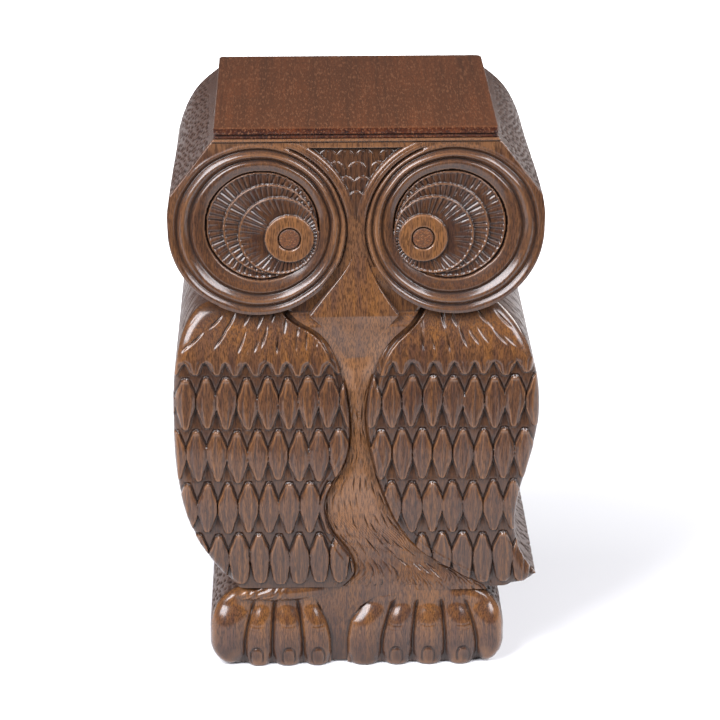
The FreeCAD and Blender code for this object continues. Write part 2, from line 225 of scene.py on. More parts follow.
# Puts points in millimetres and lists of faces into one closed mesh, with its colour attributes.
def buildMesh(name, points, quads, others, fields, sharp=None, kinds=None):
    corner = np.concatenate([quads.ravel()] + [np.asarray(f) for f in others]).astype(np.int32)
    sizes = np.concatenate([np.full(len(quads), 4), [len(f) for f in others]]).astype(np.int32)
    starts = np.concatenate([[0], np.cumsum(sizes)[:-1]]).astype(np.int32)
    mesh = bpy.data.meshes.new(name)
    mesh.vertices.add(len(points))
    mesh.vertices.foreach_set("co", (np.asarray(points) * mm).astype(np.float32).ravel())
    mesh.loops.add(len(corner))
    mesh.loops.foreach_set("vertex_index", corner)
    mesh.polygons.add(len(sizes))
    mesh.polygons.foreach_set("loop_start", starts)
    mesh.polygons.foreach_set("loop_total", sizes)
    mesh.update(calc_edges=True)
    mesh.polygons.foreach_set("use_smooth", np.ones(len(sizes), bool))
    if kinds is not None:
        mesh.polygons.foreach_set("material_index", np.asarray(kinds, np.int32))
    for field, values in fields.items():
        layer = mesh.attributes.new(field, "FLOAT", "POINT")
        layer.data.foreach_set("value", np.asarray(values, np.float32).ravel())
    if sharp is not None:
        ends = np.zeros(2 * len(mesh.edges), np.int32)
        mesh.edges.foreach_get("vertices", ends)
        marks = mesh.attributes.new("sharp_edge", "BOOLEAN", "EDGE")
        marks.data.foreach_set("value", sharp[ends.reshape(-1, 2)].all(axis=1))
    mesh.validate()
    piece = bpy.data.objects.new(name, mesh)
    bpy.context.scene.collection.objects.link(piece)
    return piece


# Quads between the neighbours of a grid of vertex numbers.
def gridQuads(number):
    a, b = number[:-1, :-1], number[:-1, 1:]
    c, d = number[1:, 1:], number[1:, :-1]
    return np.stack([a, b, c, d], axis=-1).reshape(-1, 4)


# Walks once round the outside of a grid: along the bottom, up the right, back along the top and down.
def rimOf(grid):
    return np.concatenate([grid[0, :-1], grid[:-1, -1], grid[-1, :0:-1], grid[:0:-1, 0]])


# A carved slab: its face is y = y0 + into * depth(x, z), the walls run straight from its rim to the
# plane y1, moved in by the gouge cuts, and one flat face closes it there.
def carvedSlab(name, x, z, depth, stainAndShade, warm, y1, step, cuts=None, wallRows=18, y0=frontY, into=1,
                paleToneAndPaintedLight=0.0):
    height, width = x.shape
    number = np.arange(height * width).reshape(height, width)
    rim = rimOf(number)
    count = len(rim)
    flatX, flatZ, flatY = x.ravel(), z.ravel(), y0 + into * depth.ravel()
    rimX, rimZ, rimY = flatX[rim], flatZ[rim], flatY[rim]
    share = (np.arange(1, wallRows + 1) / wallRows)[:, None]
    wallX = np.repeat(rimX[None], wallRows, axis=0)
    wallZ = np.repeat(rimZ[None], wallRows, axis=0)
    wallY = rimY[None] * (1 - share) + y1 * share
    wallCut = np.zeros(wallX.shape)
    if cuts is not None:
        ahead = np.roll(np.column_stack([rimX, rimZ]), -2, axis=0)
        behind = np.roll(np.column_stack([rimX, rimZ]), 2, axis=0)
        along = ahead - behind
        along /= np.maximum(np.hypot(along[:, 0], along[:, 1]), 1e-6)[:, None]
        wallCut, deep = cuts(wallX, wallY, wallZ)
        wallCut[-1] = 0.0
        wallX = wallX - along[None, :, 1] * deep * wallCut
        wallZ = wallZ + along[None, :, 0] * deep * wallCut
        wallZ = np.clip(wallZ, cadBox[0][2] / mm, None)
    points = np.concatenate([np.column_stack([flatX, flatY, flatZ]),
                             np.column_stack([wallX.ravel(), wallY.ravel(), wallZ.ravel()])])
    wall = np.concatenate([rim[None], np.arange(wallRows * count).reshape(wallRows, count) + number.size])
    wall = np.concatenate([wall, wall[:, :1]], axis=1)
    quads = np.concatenate([gridQuads(number), gridQuads(wall)[:, ::-1]])
    close = wall[-1, :-1]
    if into < 0:
        quads, close = quads[:, ::-1], close[::-1]
    cut = cutField(depth, step)
    # On the walls the gouges are painted darker: old polish in them and painted shade.
    fields = {"cut": np.concatenate([cut.ravel(), wallCut.ravel()]),
              "stainAndShade": np.concatenate([stainAndShade.ravel(), wallCut.ravel() * 0.9 + 0.05]),
              "warm": np.concatenate([(warm + 0.0 * x).ravel(), wallCut.ravel() * 0.0]),
              "paleToneAndPaintedLight": np.concatenate([(paleToneAndPaintedLight + 0.0 * x).ravel(), wallCut.ravel() * 0.0])}
    sharp = np.zeros(len(points), bool)
    sharp[rim] = True
    kinds = np.ones(len(quads) + 1)
    kinds[:(height - 1) * (width - 1)] = 0
    return buildMesh(name, points, quads, [close], fields, sharp, kinds)


# A socket that can be added to, taken from, multiplied and raised, each as one Math node.
class Level:
    def __init__(self, finish, socket):
        self.finish = finish
        self.socket = socket

    # One Math node on two sockets or numbers.
    def join(self, operation, first, second):
        return self.finish.add("ShaderNodeMath", {"operation": operation}, {0: first, 1: second})

    # The operators, reflected ones too: each adds one Math node.
    def __add__(self, other):
        return self.join("ADD", self, other)

    __radd__ = __add__

    def __sub__(self, other):
        return self.join("SUBTRACT", self, other)

    def __rsub__(self, other):
        return self.join("SUBTRACT", other, self)

    def __mul__(self, other):
        return self.join("MULTIPLY", self, other)

    __rmul__ = __mul__

    def __pow__(self, other):
        return self.join("POWER", self, other)

    # Goes smoothly from 0 at low to 1 at high, and is held at both ends.
    def between(self, low, high):
        return self.finish.add("ShaderNodeMapRange", {"interpolation_type": "SMOOTHSTEP"},
                               {"Value": self, "From Min": low, "From Max": high})


# A material and its node tree.
class Finish:
    def __init__(self, name):
        self.material = bpy.data.materials.new(name)
        self.material.use_nodes = True
        self.tree = self.material.node_tree
        self.shader = self.tree.nodes["Principled BSDF"]

    # Adds one node: its settings first, then the values or links of its sockets.
    def add(self, kind, settings=None, sockets=None, output=0):
        node = self.tree.nodes.new(kind)
        for key, value in (settings or {}).items():
            setattr(node, key, value)
        for key, value in (sockets or {}).items():
            self.feed(node.inputs[key], value)
        return Level(self, node.outputs[output])

    # Links a socket to a level, or sets it to a plain value.
    def feed(self, socket, value):
        if isinstance(value, Level):
            self.tree.links.new(value.socket, socket)
        else:
            socket.default_value = value

    # The object's own coordinates, turned and then stretched.
    def place(self, scale, turn=(0.0, 0.0, 0.0)):
        spot = self.add("ShaderNodeTexCoord", output="Object")
        return self.add("ShaderNodeMapping", {}, {"Vector": spot, "Rotation": turn, "Scale": scale})

    # Noise at a place that is already stretched.
    def noise(self, spot, detail=3.0, roughness=0.55, distortion=0.0):
        return self.add("ShaderNodeTexNoise", {}, {"Vector": spot, "Scale": 1.0, "Detail": detail,
                                                   "Roughness": roughness, "Distortion": distortion})

    # Goes from the first colour to the second by a share.
    def mix(self, share, first, second):
        return self.add("ShaderNodeMix", {"data_type": "RGBA", "blend_type": "MIX"},
                        {0: share, 6: first, 7: second}, 2)

    # One number for each vertex, kept on the mesh by name.
    def field(self, name):
        return self.add("ShaderNodeAttribute", {"attribute_name": name}, output="Fac")

    # Feeds the shader: what varies as levels, the rest as plain values.
    def close(self, color, roughness, height=None, bump=0.0, coat=0.0, specular=0.5):
        self.feed(self.shader.inputs["Base Color"], color)
        self.feed(self.shader.inputs["Roughness"], roughness)
        self.shader.inputs["Coat Weight"].default_value = coat
        self.shader.inputs["Coat Roughness"].default_value = coatRoughness
        self.shader.inputs["Specular IOR Level"].default_value = specular
        if height is not None:
            normal = self.add("ShaderNodeBump", {}, {"Height": height, "Strength": 1.0, "Distance": bump})
            self.feed(self.shader.inputs["Normal"], normal)
        return self.material


coatRoughness = 0.19
# How often each pattern repeats in a metre across and along the grain, and how strongly it marks.
texture = {
    "streak": (330.0, 6.5), "band": (62.0, 2.4), "pore": (1250.0, 170.0), "speck": (800.0, 105.0),
    "patch": (24.0, 24.0, 12.0), "speckTurn": (0.03, 0.02, 0.01),
    "poreDark": 0.58, "stainAndShadeDark": 0.62, "cutDark": 0.60, "crestPale": 0.30, "bump": 0.00010,
}
woodTones = {
    "dark": (0.010, 0.006, 0.005, 1.0),      # old polish and dust in the cuts, and painted shade in hollows and under edges
    "brown": (0.043, 0.019, 0.013, 1.0),
    "orange": (0.150, 0.060, 0.015, 1.0),
    "grey": (0.052, 0.031, 0.026, 1.0),
    "pale": (0.230, 0.110, 0.050, 1.0),      # worn edges and light flecks, and painted light where a surface faces the lamps
}
topTones = {**woodTones, "brown": (0.009, 0.003, 0.003, 1.0), "orange": (0.074, 0.020, 0.007, 1.0),
            "grey": (0.022, 0.007, 0.004, 1.0), "pale": (0.150, 0.065, 0.032, 1.0)}
gougedTones = {**woodTones, "brown": (0.070, 0.041, 0.032, 1.0), "orange": (0.112, 0.060, 0.038, 1.0),
               "grey": (0.086, 0.060, 0.052, 1.0)}
bareTones = {"dark": (0.12, 0.075, 0.04, 1.0), "brown": (0.30, 0.19, 0.11, 1.0),
             "orange": (0.38, 0.25, 0.15, 1.0), "grey": (0.27, 0.20, 0.14, 1.0),
             "pale": (0.45, 0.33, 0.22, 1.0)}
endTones = {**woodTones, "brown": (0.080, 0.030, 0.016, 1.0)}


# Lacquered wood with grain along one axis: streaks, dense short dark pores, light flecks, warmer and
# greyer patches, darker where the surface is cut in and by the stain-and-shade field (old polish and
# painted shade), paler on worn crests and edges, and paler again with painted light from the light field.
def woodFinish(name, grain="z", tones=woodTones, warmth=0.35, roughness=0.19, specular=0.5, greyness=0.0,
               fleck=0.35, coat=0.0):
    finish = Finish(name)

    # The same stretch across the grain on two axes, and another along it.
    def stretched(across, along, turn=(0.0, 0.0, 0.0)):
        return finish.place(tuple(along if k == grain else across for k in "xyz"), turn)

    streak = finish.noise(stretched(*texture["streak"]), 4.0, 0.60, 0.3)
    band = finish.noise(stretched(*texture["band"]), 3.0, 0.5, 0.8)
    pore = finish.noise(stretched(*texture["pore"]), 2.0, 0.55)
    speck = finish.noise(stretched(*texture["speck"], texture["speckTurn"]), 2.0, 0.5)
    patch = finish.noise(finish.place(texture["patch"]), 2.0, 0.5)
    cut = finish.field("cut")
    stainAndShade = finish.field("stainAndShade")
    warm = (streak.between(0.34, 0.66) * 0.50 + band.between(0.32, 0.68) * 0.50)
    # The warm field: the orange parts' own tone, and painted light on the shoulders, the strip above the
    # beak and the beak's upper facet, which face up to the lamps.
    warm = warm * (warmth + finish.field("warm") * 0.95)
    color = finish.mix(warm, tones["brown"], tones["orange"])
    color = finish.mix(patch.between(0.40, 0.72) * (0.30 + greyness), color, tones["grey"])
    color = finish.mix(speck.between(0.52, 0.66) * fleck, color, tones["pale"])
    # Paler by the pale-tone-and-light field: the discs' own paler tone, and painted light on the fascia,
    # the strip, the breast, the beak's lower facet and the rings.
    color = finish.mix(finish.field("paleToneAndPaintedLight"), color, tones["pale"])
    color = finish.mix(pore.between(0.46, 0.60) * texture["poreDark"], color, tones["dark"])
    # Darker by the stain-and-shade field and in the cuts: old polish and dust, and painted shade in
    # hollows, grooves and under edges.
    color = finish.mix(stainAndShade * texture["stainAndShadeDark"], color, tones["dark"])
    color = finish.mix(cut.between(0.06, 0.80) * texture["cutDark"], color, tones["dark"])
    color = finish.mix((0.0 - cut).between(0.20, 0.80) * texture["crestPale"], color, tones["pale"])
    rough = roughness + cut.between(0.0, 0.5) * 0.20 + pore.between(0.5, 0.66) * 0.07 + stainAndShade * 0.12
    height = streak * 0.5 - pore.between(0.52, 0.70) * 0.7 + band * 0.6
    return finish.close(color, rough, height, texture["bump"], coat, specular)


carvedWood = woodFinish("carvedWood", specular=0.12, fleck=0.14, coat=0.65)
smoothWood = woodFinish("topWood", "y", topTones, 0.9, 0.34, 0.12, 0.35, 0.55)
gougedWood = woodFinish("gougedWood", "z", gougedTones, 0.0, 0.38, 0.16, 0.35, 0.25)
endGrain = woodFinish("endGrain", "y", endTones, 0.4, 0.36, 0.4, 0.1, 0.6)
bareWood = woodFinish("bareWood", "z", bareTones, 0.3, 0.65, 0.3, 0.2, 0.2)
dowelWood = woodFinish("dowelWood", "y", bareTones, 0.6, 0.6, 0.3, 0.1, 0.2)


# Zinc-plated steel: grey with faint drawn lines and a slightly yellow bloom.
def screwFinish():
    finish = Finish("screwSteel")
    drawn = finish.noise(finish.place((2200.0, 2200.0, 300.0)), 2.0, 0.5)
    bloom = finish.noise(finish.place((300.0, 300.0, 300.0)), 2.0, 0.5)
    color = finish.mix(bloom.between(0.45, 0.7) * 0.5, (0.52, 0.52, 0.50, 1.0), (0.50, 0.44, 0.30, 1.0))
    finish.shader.inputs["Metallic"].default_value = 1.0
    return finish.close(color, 0.32 + drawn.between(0.35, 0.65) * 0.2, drawn, 0.00005)


screwSteel = screwFinish()


owl = {
    "eyeX": 78.0, "eyeZ": 378.0, "eyeRadius": 70.3,
    "socketX": 74.0, "socketZ": 380.4, "socketRadius": 44.7,
    "topHalf": 111.0, "cornerX": 146.0, "cornerZ": 406.0, "cornerRoundX": 148.2, "cornerRoundZ": 393.0,
    "rearCorner": [(111.0, 452.0), (129.0, 436.0), (140.5, 416.0), (146.5, 396.0), (148.3, 378.0)],
    "bridgeZ": 345.0,
    "leftFlank": [(-109.0, 314.9), (-124.0, 310.0), (-137.0, 294.0), (-144.5, 268.0), (-147.3, 220.0),
                  (-144.0, 160.0), (-130.0, 113.0), (-98.0, 70.0)],
    "rightFlank": [(109.0, 314.9), (124.0, 301.0), (137.0, 280.0), (145.0, 253.0), (145.5, 205.0),
                   (134.0, 158.0), (129.0, 125.0), (135.0, 98.0), (147.0, 79.5)],
    "rightTip": [(147.0, 79.5), (139.0, 73.0), (126.0, 70.0)],
    "leftWingEdge": [(-62.0, 330.0), (-52.0, 306.0), (-33.0, 294.0), (-13.0, 258.0), (-6.5, 218.0),
                     (-11.0, 178.0), (-25.5, 150.0), (-20.0, 117.0), (-5.0, 95.0), (-3.5, 80.0),
                     (-12.0, 70.0)],
    "rightWingEdge": [(62.0, 330.0), (44.0, 301.0), (28.0, 285.0), (14.0, 254.0), (8.5, 222.0),
                      (13.0, 184.0), (26.0, 142.0), (47.0, 107.0), (72.0, 89.0), (104.0, 70.0)],
    "baseHalf": 121.0, "baseTopRadius": 38.0, "baseFootRadius": 20.0,
    "feetSplit": -9.0,
}


# The head's outer edge from the top board down to the cheek: a straight chamfer and a round.
def shoulderLine(side):
    chamfer = np.array([(owl["topHalf"], headTopZ), (owl["cornerX"], owl["cornerZ"])])
    cheek = (owl["eyeX"] + owl["eyeRadius"], owl["eyeZ"])
    bend = smoothLine([(owl["cornerX"], owl["cornerZ"]), (owl["cornerRoundX"], owl["cornerRoundZ"]), cheek])
    line = np.concatenate([evenly(chamfer, 60), bend[1:]])
    return line * (side, 1.0)


# The head's edge from the cheek down to the neck: part of the ring's circle.
def cheekLine(side):
    low = np.degrees(np.arcsin((neckZ - owl["eyeZ"]) / owl["eyeRadius"]))
    return arcLine(owl["eyeX"], owl["eyeZ"], owl["eyeRadius"], 0.0, low)[1:] * (side, 1.0)


# The head's whole outer edge at the front.
def headSideLine(side):
    return np.concatenate([shoulderLine(side), cheekLine(side)])


# The same edge at the owl's back, where the corner is worn round.
def rearHeadLine(side):
    return np.concatenate([smoothLine([(side * px, pz) for px, pz in owl["rearCorner"]]), cheekLine(side)])


# The body's outer edge from the neck down; on the right it turns back under the wing's tip.
def flankLine(side):
    if side < 0:
        return smoothLine(owl["leftFlank"])
    return np.concatenate([smoothLine(owl["rightFlank"]), smoothLine(owl["rightTip"], 60)[1:]])


# The base's outer edge: a large round above and a small one at the floor, joined straight.
def baseSideLine(side):
    half, top, foot = owl["baseHalf"], owl["baseTopRadius"], owl["baseFootRadius"]
    upper = arcLine(half - top, baseTopZ - top, top, 90.0, 0.0)
    lower = arcLine(half - foot, foot, foot, 0.0, -90.0)
    return np.concatenate([upper, lower]) * (side, 1.0)


leftWingEdge = smoothLine(owl["leftWingEdge"])
rightWingEdge = smoothLine(owl["rightWingEdge"])


gouges = {"cell": (5.6, 9.6), "size": (2.3, 5.2), "deep": 1.3, "turn": 0.35,
          "hatchCell": (4.2, 18.0), "hatchSize": (1.3, 10.5), "hatchTurn": 0.75, "hatchDeep": 0.9}


# Short deep gouge marks over the head and base.
def dimples(run, y, seed):
    return gougeCuts(run, y, gouges["cell"], gouges["size"], gouges["turn"], seed)


# Long fine marks, slanted to each side, over the body.
def hatching(run, y, seed, side):
    return gougeCuts(run, y, gouges["hatchCell"], gouges["hatchSize"], side * gouges["hatchTurn"], seed)


# How far round the outline a place is: share * |x| - z, folded over where the outline turns back in.
def aroundRun(x, z, foldX, foldZ):
    m = np.abs(x)
    return 0.62 * np.where(z > foldZ, m, 2.0 * foldX - m) - z


# The cuts at places on the owl's sides: dimples on head and base, long hatching on the body.
def sideCuts(kind, side, x, y, z):
    if kind == "head":
        run = aroundRun(x, z, owl["eyeX"] + owl["eyeRadius"], owl["eyeZ"])
        return dimples(run, y, 91 + side) * softStep(headTopZ - 5.0, headTopZ - 7.5, z)
    if kind == "base":
        run = aroundRun(x, z, owl["baseHalf"], owl["baseFootRadius"])
        return dimples(run, y, 99 + side) * softStep(1.0, 6.0, z)
    return hatching(-z, y, 95 + side, side)


# The same cuts on a slab's walls, only where the wall is on the owl's outside.
def outsideCuts(side, kind):
    line = {"head": headSideLine, "body": flankLine, "base": baseSideLine}[kind](side)
    deep = gouges["hatchDeep"] if kind == "body" else gouges["deep"]

    # Strong near the outline, and fading out at the front.
    def cuts(x, y, z):
        outside = softStep(3.0, 1.0, distanceTo(line, x, z)) * softStep(frontY + 0.8, frontY + 3.2, y)
        return sideCuts(kind, side, x, y, z) * outside, deep
    return cuts


face = {
    "rows": 250, "columns": {-1: 232, 1: 300}, "cheekTurn": -45.0,
    "cornerLevel": 2.0, "ringSoft": 0.45, "ringWander": 0.35,
    "stripFall": 4.6, "stripFrom": 404.0, "stripTo": 340.0, "lineDeep": 1.9,
    "beadAt": 73.9, "beadHalf": 3.3, "beadRise": 1.3,
    "fasciaZ": 448.0, "fasciaLevel": 2.6, "lipZ": 450.8, "lipHalf": 1.5, "lipRise": 2.2,
    "torusAt": 0.600, "torusHalf": 0.180, "torusLevel": 0.2, "torusRise": 4.0,
    "innerAt": 0.305, "innerOut": 0.130, "innerIn": 0.310, "innerLevel": 2.0, "innerFall": 2.9,
    "bandAt": 0.890, "bandHalf": 0.120, "bandLevel": 1.1, "bandRise": 2.6,
    "fieldGroove": 8.6,
    # each fan: centre x and z, radius, level, fall towards the middle, flutes, and what they point at
    "fans": [(74.0, 380.4, 43.6, 5.8, 0.09, 52, (74.0, 380.4)),
             (68.0, 377.6, 36.5, 4.7, 0.10, 48, (66.0, 377.0)),
             (61.0, 372.6, 31.6, 3.5, 0.10, 46, (52.6, 370.0))],
    "fluteDeep": 1.25, "discRadius": 19.2, "plugShows": 8.6,
    "browTop": 444.5, "browLow": 386.0, "browRadius": 77.4, "browFloor": 5.6,
    # rows of brow feathers from the top: height of their tops and places across
    "browRows": [(442.5, (-22.1, -8.2, 6.6, 25.0)), (432.5, (-16.2, 0.7, 18.0)),
                 (420.5, (-7.9, 5.2)), (409.0, (0.4,))],
    "browHalf": 7.6, "browLastHalf": 6.0, "browStep": 0.58, "browFlute": 4.3,
}


# Where a place lies between the socket (0) and the ring's outer circle (1), on the family of circles
# whose centres and radii slide evenly from one to the other: the root of a quadratic in t.
def ringShare(m, z):
    qx, qz = m - owl["socketX"], z - owl["socketZ"]
    dx, dz = owl["eyeX"] - owl["socketX"], owl["eyeZ"] - owl["socketZ"]
    grow = owl["eyeRadius"] - owl["socketRadius"]
    b = qx * dx + qz * dz + owl["socketRadius"] * grow
    a = dx * dx + dz * dz - grow * grow
    c = qx * qx + qz * qz - owl["socketRadius"] ** 2
    return (b - np.sqrt(np.maximum(b * b - a * c, 0.0))) / a


# A ridge with a rounded crest and straight flanks: level + rise (sqrt(u^2 + c^2) - c), scaled to 1.
def hill(u, level, rise, crown=0.34):
    return level + rise * (np.sqrt(u * u + crown * crown) - crown) / (np.sqrt(1.0 + crown * crown) - crown)


# A soft minimum, so that hills meet in rounded valleys: -k ln(e^(-a/k) + e^(-b/k)).
def softLow(a, b, k):
    low = np.minimum(a, b)
    return low - k * np.log(np.exp((low - a) / k) + np.exp((low - b) / k))


# One fan: a flat cone with a thin raised rim and flutes that point at one place.
def fanLayer(m, z, fan, seed):
    cx, cz, radius, level, fall, flutes, aim = fan
    inward = radius - np.hypot(m - cx, z - cz)
    turn = np.arctan2(z - aim[1], m - aim[0]) * flutes / 6.2832
    index = np.floor(turn).astype(int) % flutes
    draw = np.random.default_rng(seed)
    strength = draw.uniform(0.35, 1.15, flutes)[index]
    wide = draw.uniform(0.10, 0.50, flutes)[index]
    long = draw.uniform(7.0, 22.0, flutes)[index]
    inward = inward + 0.45 * (strength - 0.7)
    groove = softStep(wide, 1.0, np.abs(2.0 * (turn - np.floor(turn)) - 1.0)) * strength
    groove = groove * softStep(0.6, 2.0, inward) * softStep(long + 2.0, long - 4.0, inward)
    depth = level + fall * np.clip(inward, 0.0, 16.0) + face["fluteDeep"] * groove
    depth = depth - 0.5 * softStep(1.6, 0.9, inward) + roundOver(inward, 0.6)
    return depth, inward, groove


# The rings around an eye: band, torus and cove, ridges over the share t that meet in soft valleys.
def ringDepth(x, z, wobble):
    wander = waviness(x, z, 41.0, 6)
    t = ringShare(np.abs(x) + face["ringWander"] * wobble, z + face["ringWander"] * wander)
    band = hill((t - face["bandAt"]) / face["bandHalf"], face["bandLevel"], face["bandRise"])
    torus = hill((t - face["torusAt"]) / face["torusHalf"], face["torusLevel"], face["torusRise"])
    offset = t - face["innerAt"]
    reach = np.where(offset > 0, face["innerOut"], face["innerIn"])
    inner = hill(offset / reach, face["innerLevel"], face["innerFall"])
    ring = softLow(softLow(band, torus, face["ringSoft"]), inner, face["ringSoft"])
    # Darker the deeper the ring lies and clean on the crests: old polish in the hollows, and painted shade
    # that rounds the mouldings.
    stainAndShade = np.clip((ring - 2.4) / 3.0, 0.0, 1.0) * 0.70 + 0.15
    return t, np.where(t < 0.015, face["fieldGroove"], ring), stainAndShade


# Beyond the rings: the flat corners, and between the eyes the strip, which falls towards the beak and
# has a cut line and a bead along each ring's edge, 1 - |r - r0| / half.
def stripDepth(m, z, t, depth, ringPatinaAndShade):
    down = softStep(face["stripFrom"], face["stripTo"], z) * softStep(30.0, 12.0, m)
    level = face["cornerLevel"] + face["stripFall"] * down
    outerShare = softStep(face["bandAt"], 1.01, t)
    noseSide = softStep(58.0, 46.0, m) * softStep(owl["eyeZ"] - 60.0, owl["eyeZ"] - 20.0, z)
    plain = face["bandLevel"] + (level - face["bandLevel"]) * outerShare
    depth = np.where(t > face["bandAt"], np.where(noseSide > 0.5, depth, plain), depth)
    depth = np.where(t > 1.0, level, depth)
    away = np.hypot(m - owl["eyeX"], z - owl["eyeZ"])
    lineCut = np.clip(1.0 - np.abs(away - owl["eyeRadius"]) / 1.3, 0.0, 1.0) * noseSide
    depth = depth + face["lineDeep"] * lineCut
    bead = np.clip(1.0 - np.abs(away - face["beadAt"]) / face["beadHalf"], 0.0, 1.0)
    high = noseSide * softStep(384.0, 400.0, z)
    depth = depth - face["beadRise"] * np.sqrt(bead) * high
    depth = depth + 0.6 * np.clip(1.0 - np.abs(away - face["beadAt"] - 0.7) / 0.7, 0.0, 1.0) * high
    # The ring's darkening carried to its edge, and darker in the cut line: old polish and painted shade.
    stainAndShade = np.where(t < 1.0, ringPatinaAndShade * softStep(1.0, 0.93, t) + 0.05, 0.10) + 0.12 * lineCut
    return depth, stainAndShade, away


# The brow: a sunk field with rows of fluted round-topped feathers, each row over the one above. The
# way in from a feather's top is top - (r - sqrt(r^2 - dx^2)) - z.
def browDepth(x, z, wobble):
    floor = face["browFloor"] - 0.6 * softStep(420.0, 388.0, z)
    brow = np.full(x.shape, 1.0) * floor
    # The sunk floor is painted darker than the feathers, and the flutes dark and light in turn: old polish
    # and painted shade.
    stainAndShade = np.full(x.shape, 0.70)
    for row, (top, places) in enumerate(face["browRows"]):
        half = face["browHalf"] if row < 3 else face["browLastHalf"]
        for k, centre in enumerate(places):
            dx = x - centre - 0.5 * wobble
            rise = half * (1.0 - np.sqrt(np.clip(1.0 - (dx / half) ** 2, 0.0, 1.0)))
            inside = np.minimum(top - rise * 1.1 - z, (half - np.abs(dx)) * 1.4)
            flute = 0.34 * np.cos(dx * 6.2832 / face["browFlute"] + 0.6 * k) * softStep(1.0, 3.0, inside)
            scale = floor - 0.55 - face["browStep"] * row - 0.22 * softStep(2.4, 0.2, inside)
            scale = scale + flute + 0.045 * np.clip(top - z, 0.0, 14.0)
            use = softStep(-0.15, 0.45, inside) * (np.abs(dx) < half)
            brow = brow * (1 - use) + scale * use
            stainAndShade = stainAndShade * (1 - use) + (0.42 + 0.5 * flute) * use
    return brow, stainAndShade


# The eye: three fans that overlap towards the beak, and a smooth disc around the plug's hole.
def eyeDepth(m, z, depth, stainAndShade, seed):
    for k, fan in enumerate(face["fans"]):
        layer, inward, groove = fanLayer(m, z, fan, 31 + 7 * k + seed)
        show = inward > 0
        depth = np.where(show, layer, depth)
        # Fans darker in their flutes and towards their middles: old polish and painted shade.
        stainAndShade = np.where(show, 0.22 + 0.25 * groove + 0.22 * softStep(3.0, 12.0, inward), stainAndShade)
    spread = np.hypot(m - pupilX, z - pupilZ)
    disc = pupilLevel - 0.1 + roundOver(face["discRadius"] - spread, 0.9)
    disc = disc - 0.25 * softStep(18.0, 9.0, spread)
    depth = np.where(spread < face["discRadius"], disc, depth)
    stainAndShade = np.where(spread < face["discRadius"], 0.0, stainAndShade)
    moat = softStep(1.1, 0.3, np.abs(spread - face["plugShows"] - 0.1))
    depth = np.where(spread < face["plugShows"] - 0.3, pupilLevel + 3.0, depth + 1.5 * moat)
    return depth, np.maximum(stainAndShade, moat)


# The head's whole front: rings, strip, brow and eyes, and under the top board a bead, a dark line and
# a flat fascia with the boards' glue line.
def faceDepth(x, z, seed):
    m = np.abs(x)
    wobble = waviness(x, z, 34.0, 5)
    t, depth, ringPatinaAndShade = ringDepth(x, z, wobble)
    depth, stainAndShade, away = stripDepth(m, z, t, depth, ringPatinaAndShade)
    brow, browStainAndShade = browDepth(x, z, wobble)
    edge = np.minimum(away - face["browRadius"], face["browTop"] - z)
    inBrow = (edge > 0) & (z > face["browLow"] - 2.0) & (m < 46.0)
    wall = softStep(0.0, 1.1, edge)
    depth = np.where(inBrow, depth * (1 - wall) + brow * wall, depth)
    stainAndShade = np.where(inBrow, browStainAndShade * wall, stainAndShade)
    level, lipZ, lipHalf = face["fasciaLevel"], face["lipZ"], face["lipHalf"]
    fascia = softStep(face["fasciaZ"], face["fasciaZ"] + 1.0, z)
    depth = depth * (1 - fascia) + level * fascia
    lip = face["lipRise"] * np.sqrt(np.clip(1.0 - ((z - lipZ) / lipHalf) ** 2, 0.0, 1.0))
    depth = np.where(z > lipZ - lipHalf, level - lip, depth)
    seamCut = np.clip(1.0 - np.abs(x - seamX) / 0.5, 0.0, 1.0) * softStep(444.0, 446.0, z)
    stainAndShade = stainAndShade + 0.35 * seamCut
    depth, stainAndShade = eyeDepth(m, z, depth, stainAndShade, seed)
    return np.clip(depth + 0.12 * wobble, 0.02, None), np.clip(stainAndShade, 0.0, 1.0)


# A face board's grid, between its glue line, the fascia's top, the head's side and the ring's bottom.
def faceGrid(side):
    ring = (owl["eyeX"], owl["eyeZ"], owl["eyeRadius"])
    corner = np.degrees(np.arcsin((owl["bridgeZ"] - ring[1]) / ring[2]))
    outer = np.concatenate([shoulderLine(1), arcLine(*ring, 0.0, face["cheekTurn"])[1:]])
    top = np.array([(seamX, headTopZ), (side * owl["topHalf"], headTopZ)])
    seamLow = owl["eyeZ"] - np.sqrt(ring[2] ** 2 - (seamX + owl["eyeX"]) ** 2)
    seam = np.array([(seamX, seamLow), (seamX, headTopZ)])
    under = arcLine(*ring, face["cheekTurn"], -180.0 - corner)
    mirrored = under * (-1, 1)
    outerUp, seamUp = evenly(outer[::-1] * (side, 1), face["rows"]), evenly(seam, face["rows"])
    columns = face["columns"][side]
    if side < 0:
        bottom = np.concatenate([mirrored[mirrored[:, 0] < seamX], [(seamX, seamLow)]])
        return patchGrid(evenly(bottom, columns), seamUp, evenly(top[::-1], columns), outerUp)
    sliver = mirrored[mirrored[:, 0] > seamX]
    bottom = np.concatenate([[(seamX, seamLow)], sliver, under[::-1]])
    return patchGrid(evenly(bottom, columns), outerUp, evenly(top, columns), seamUp)


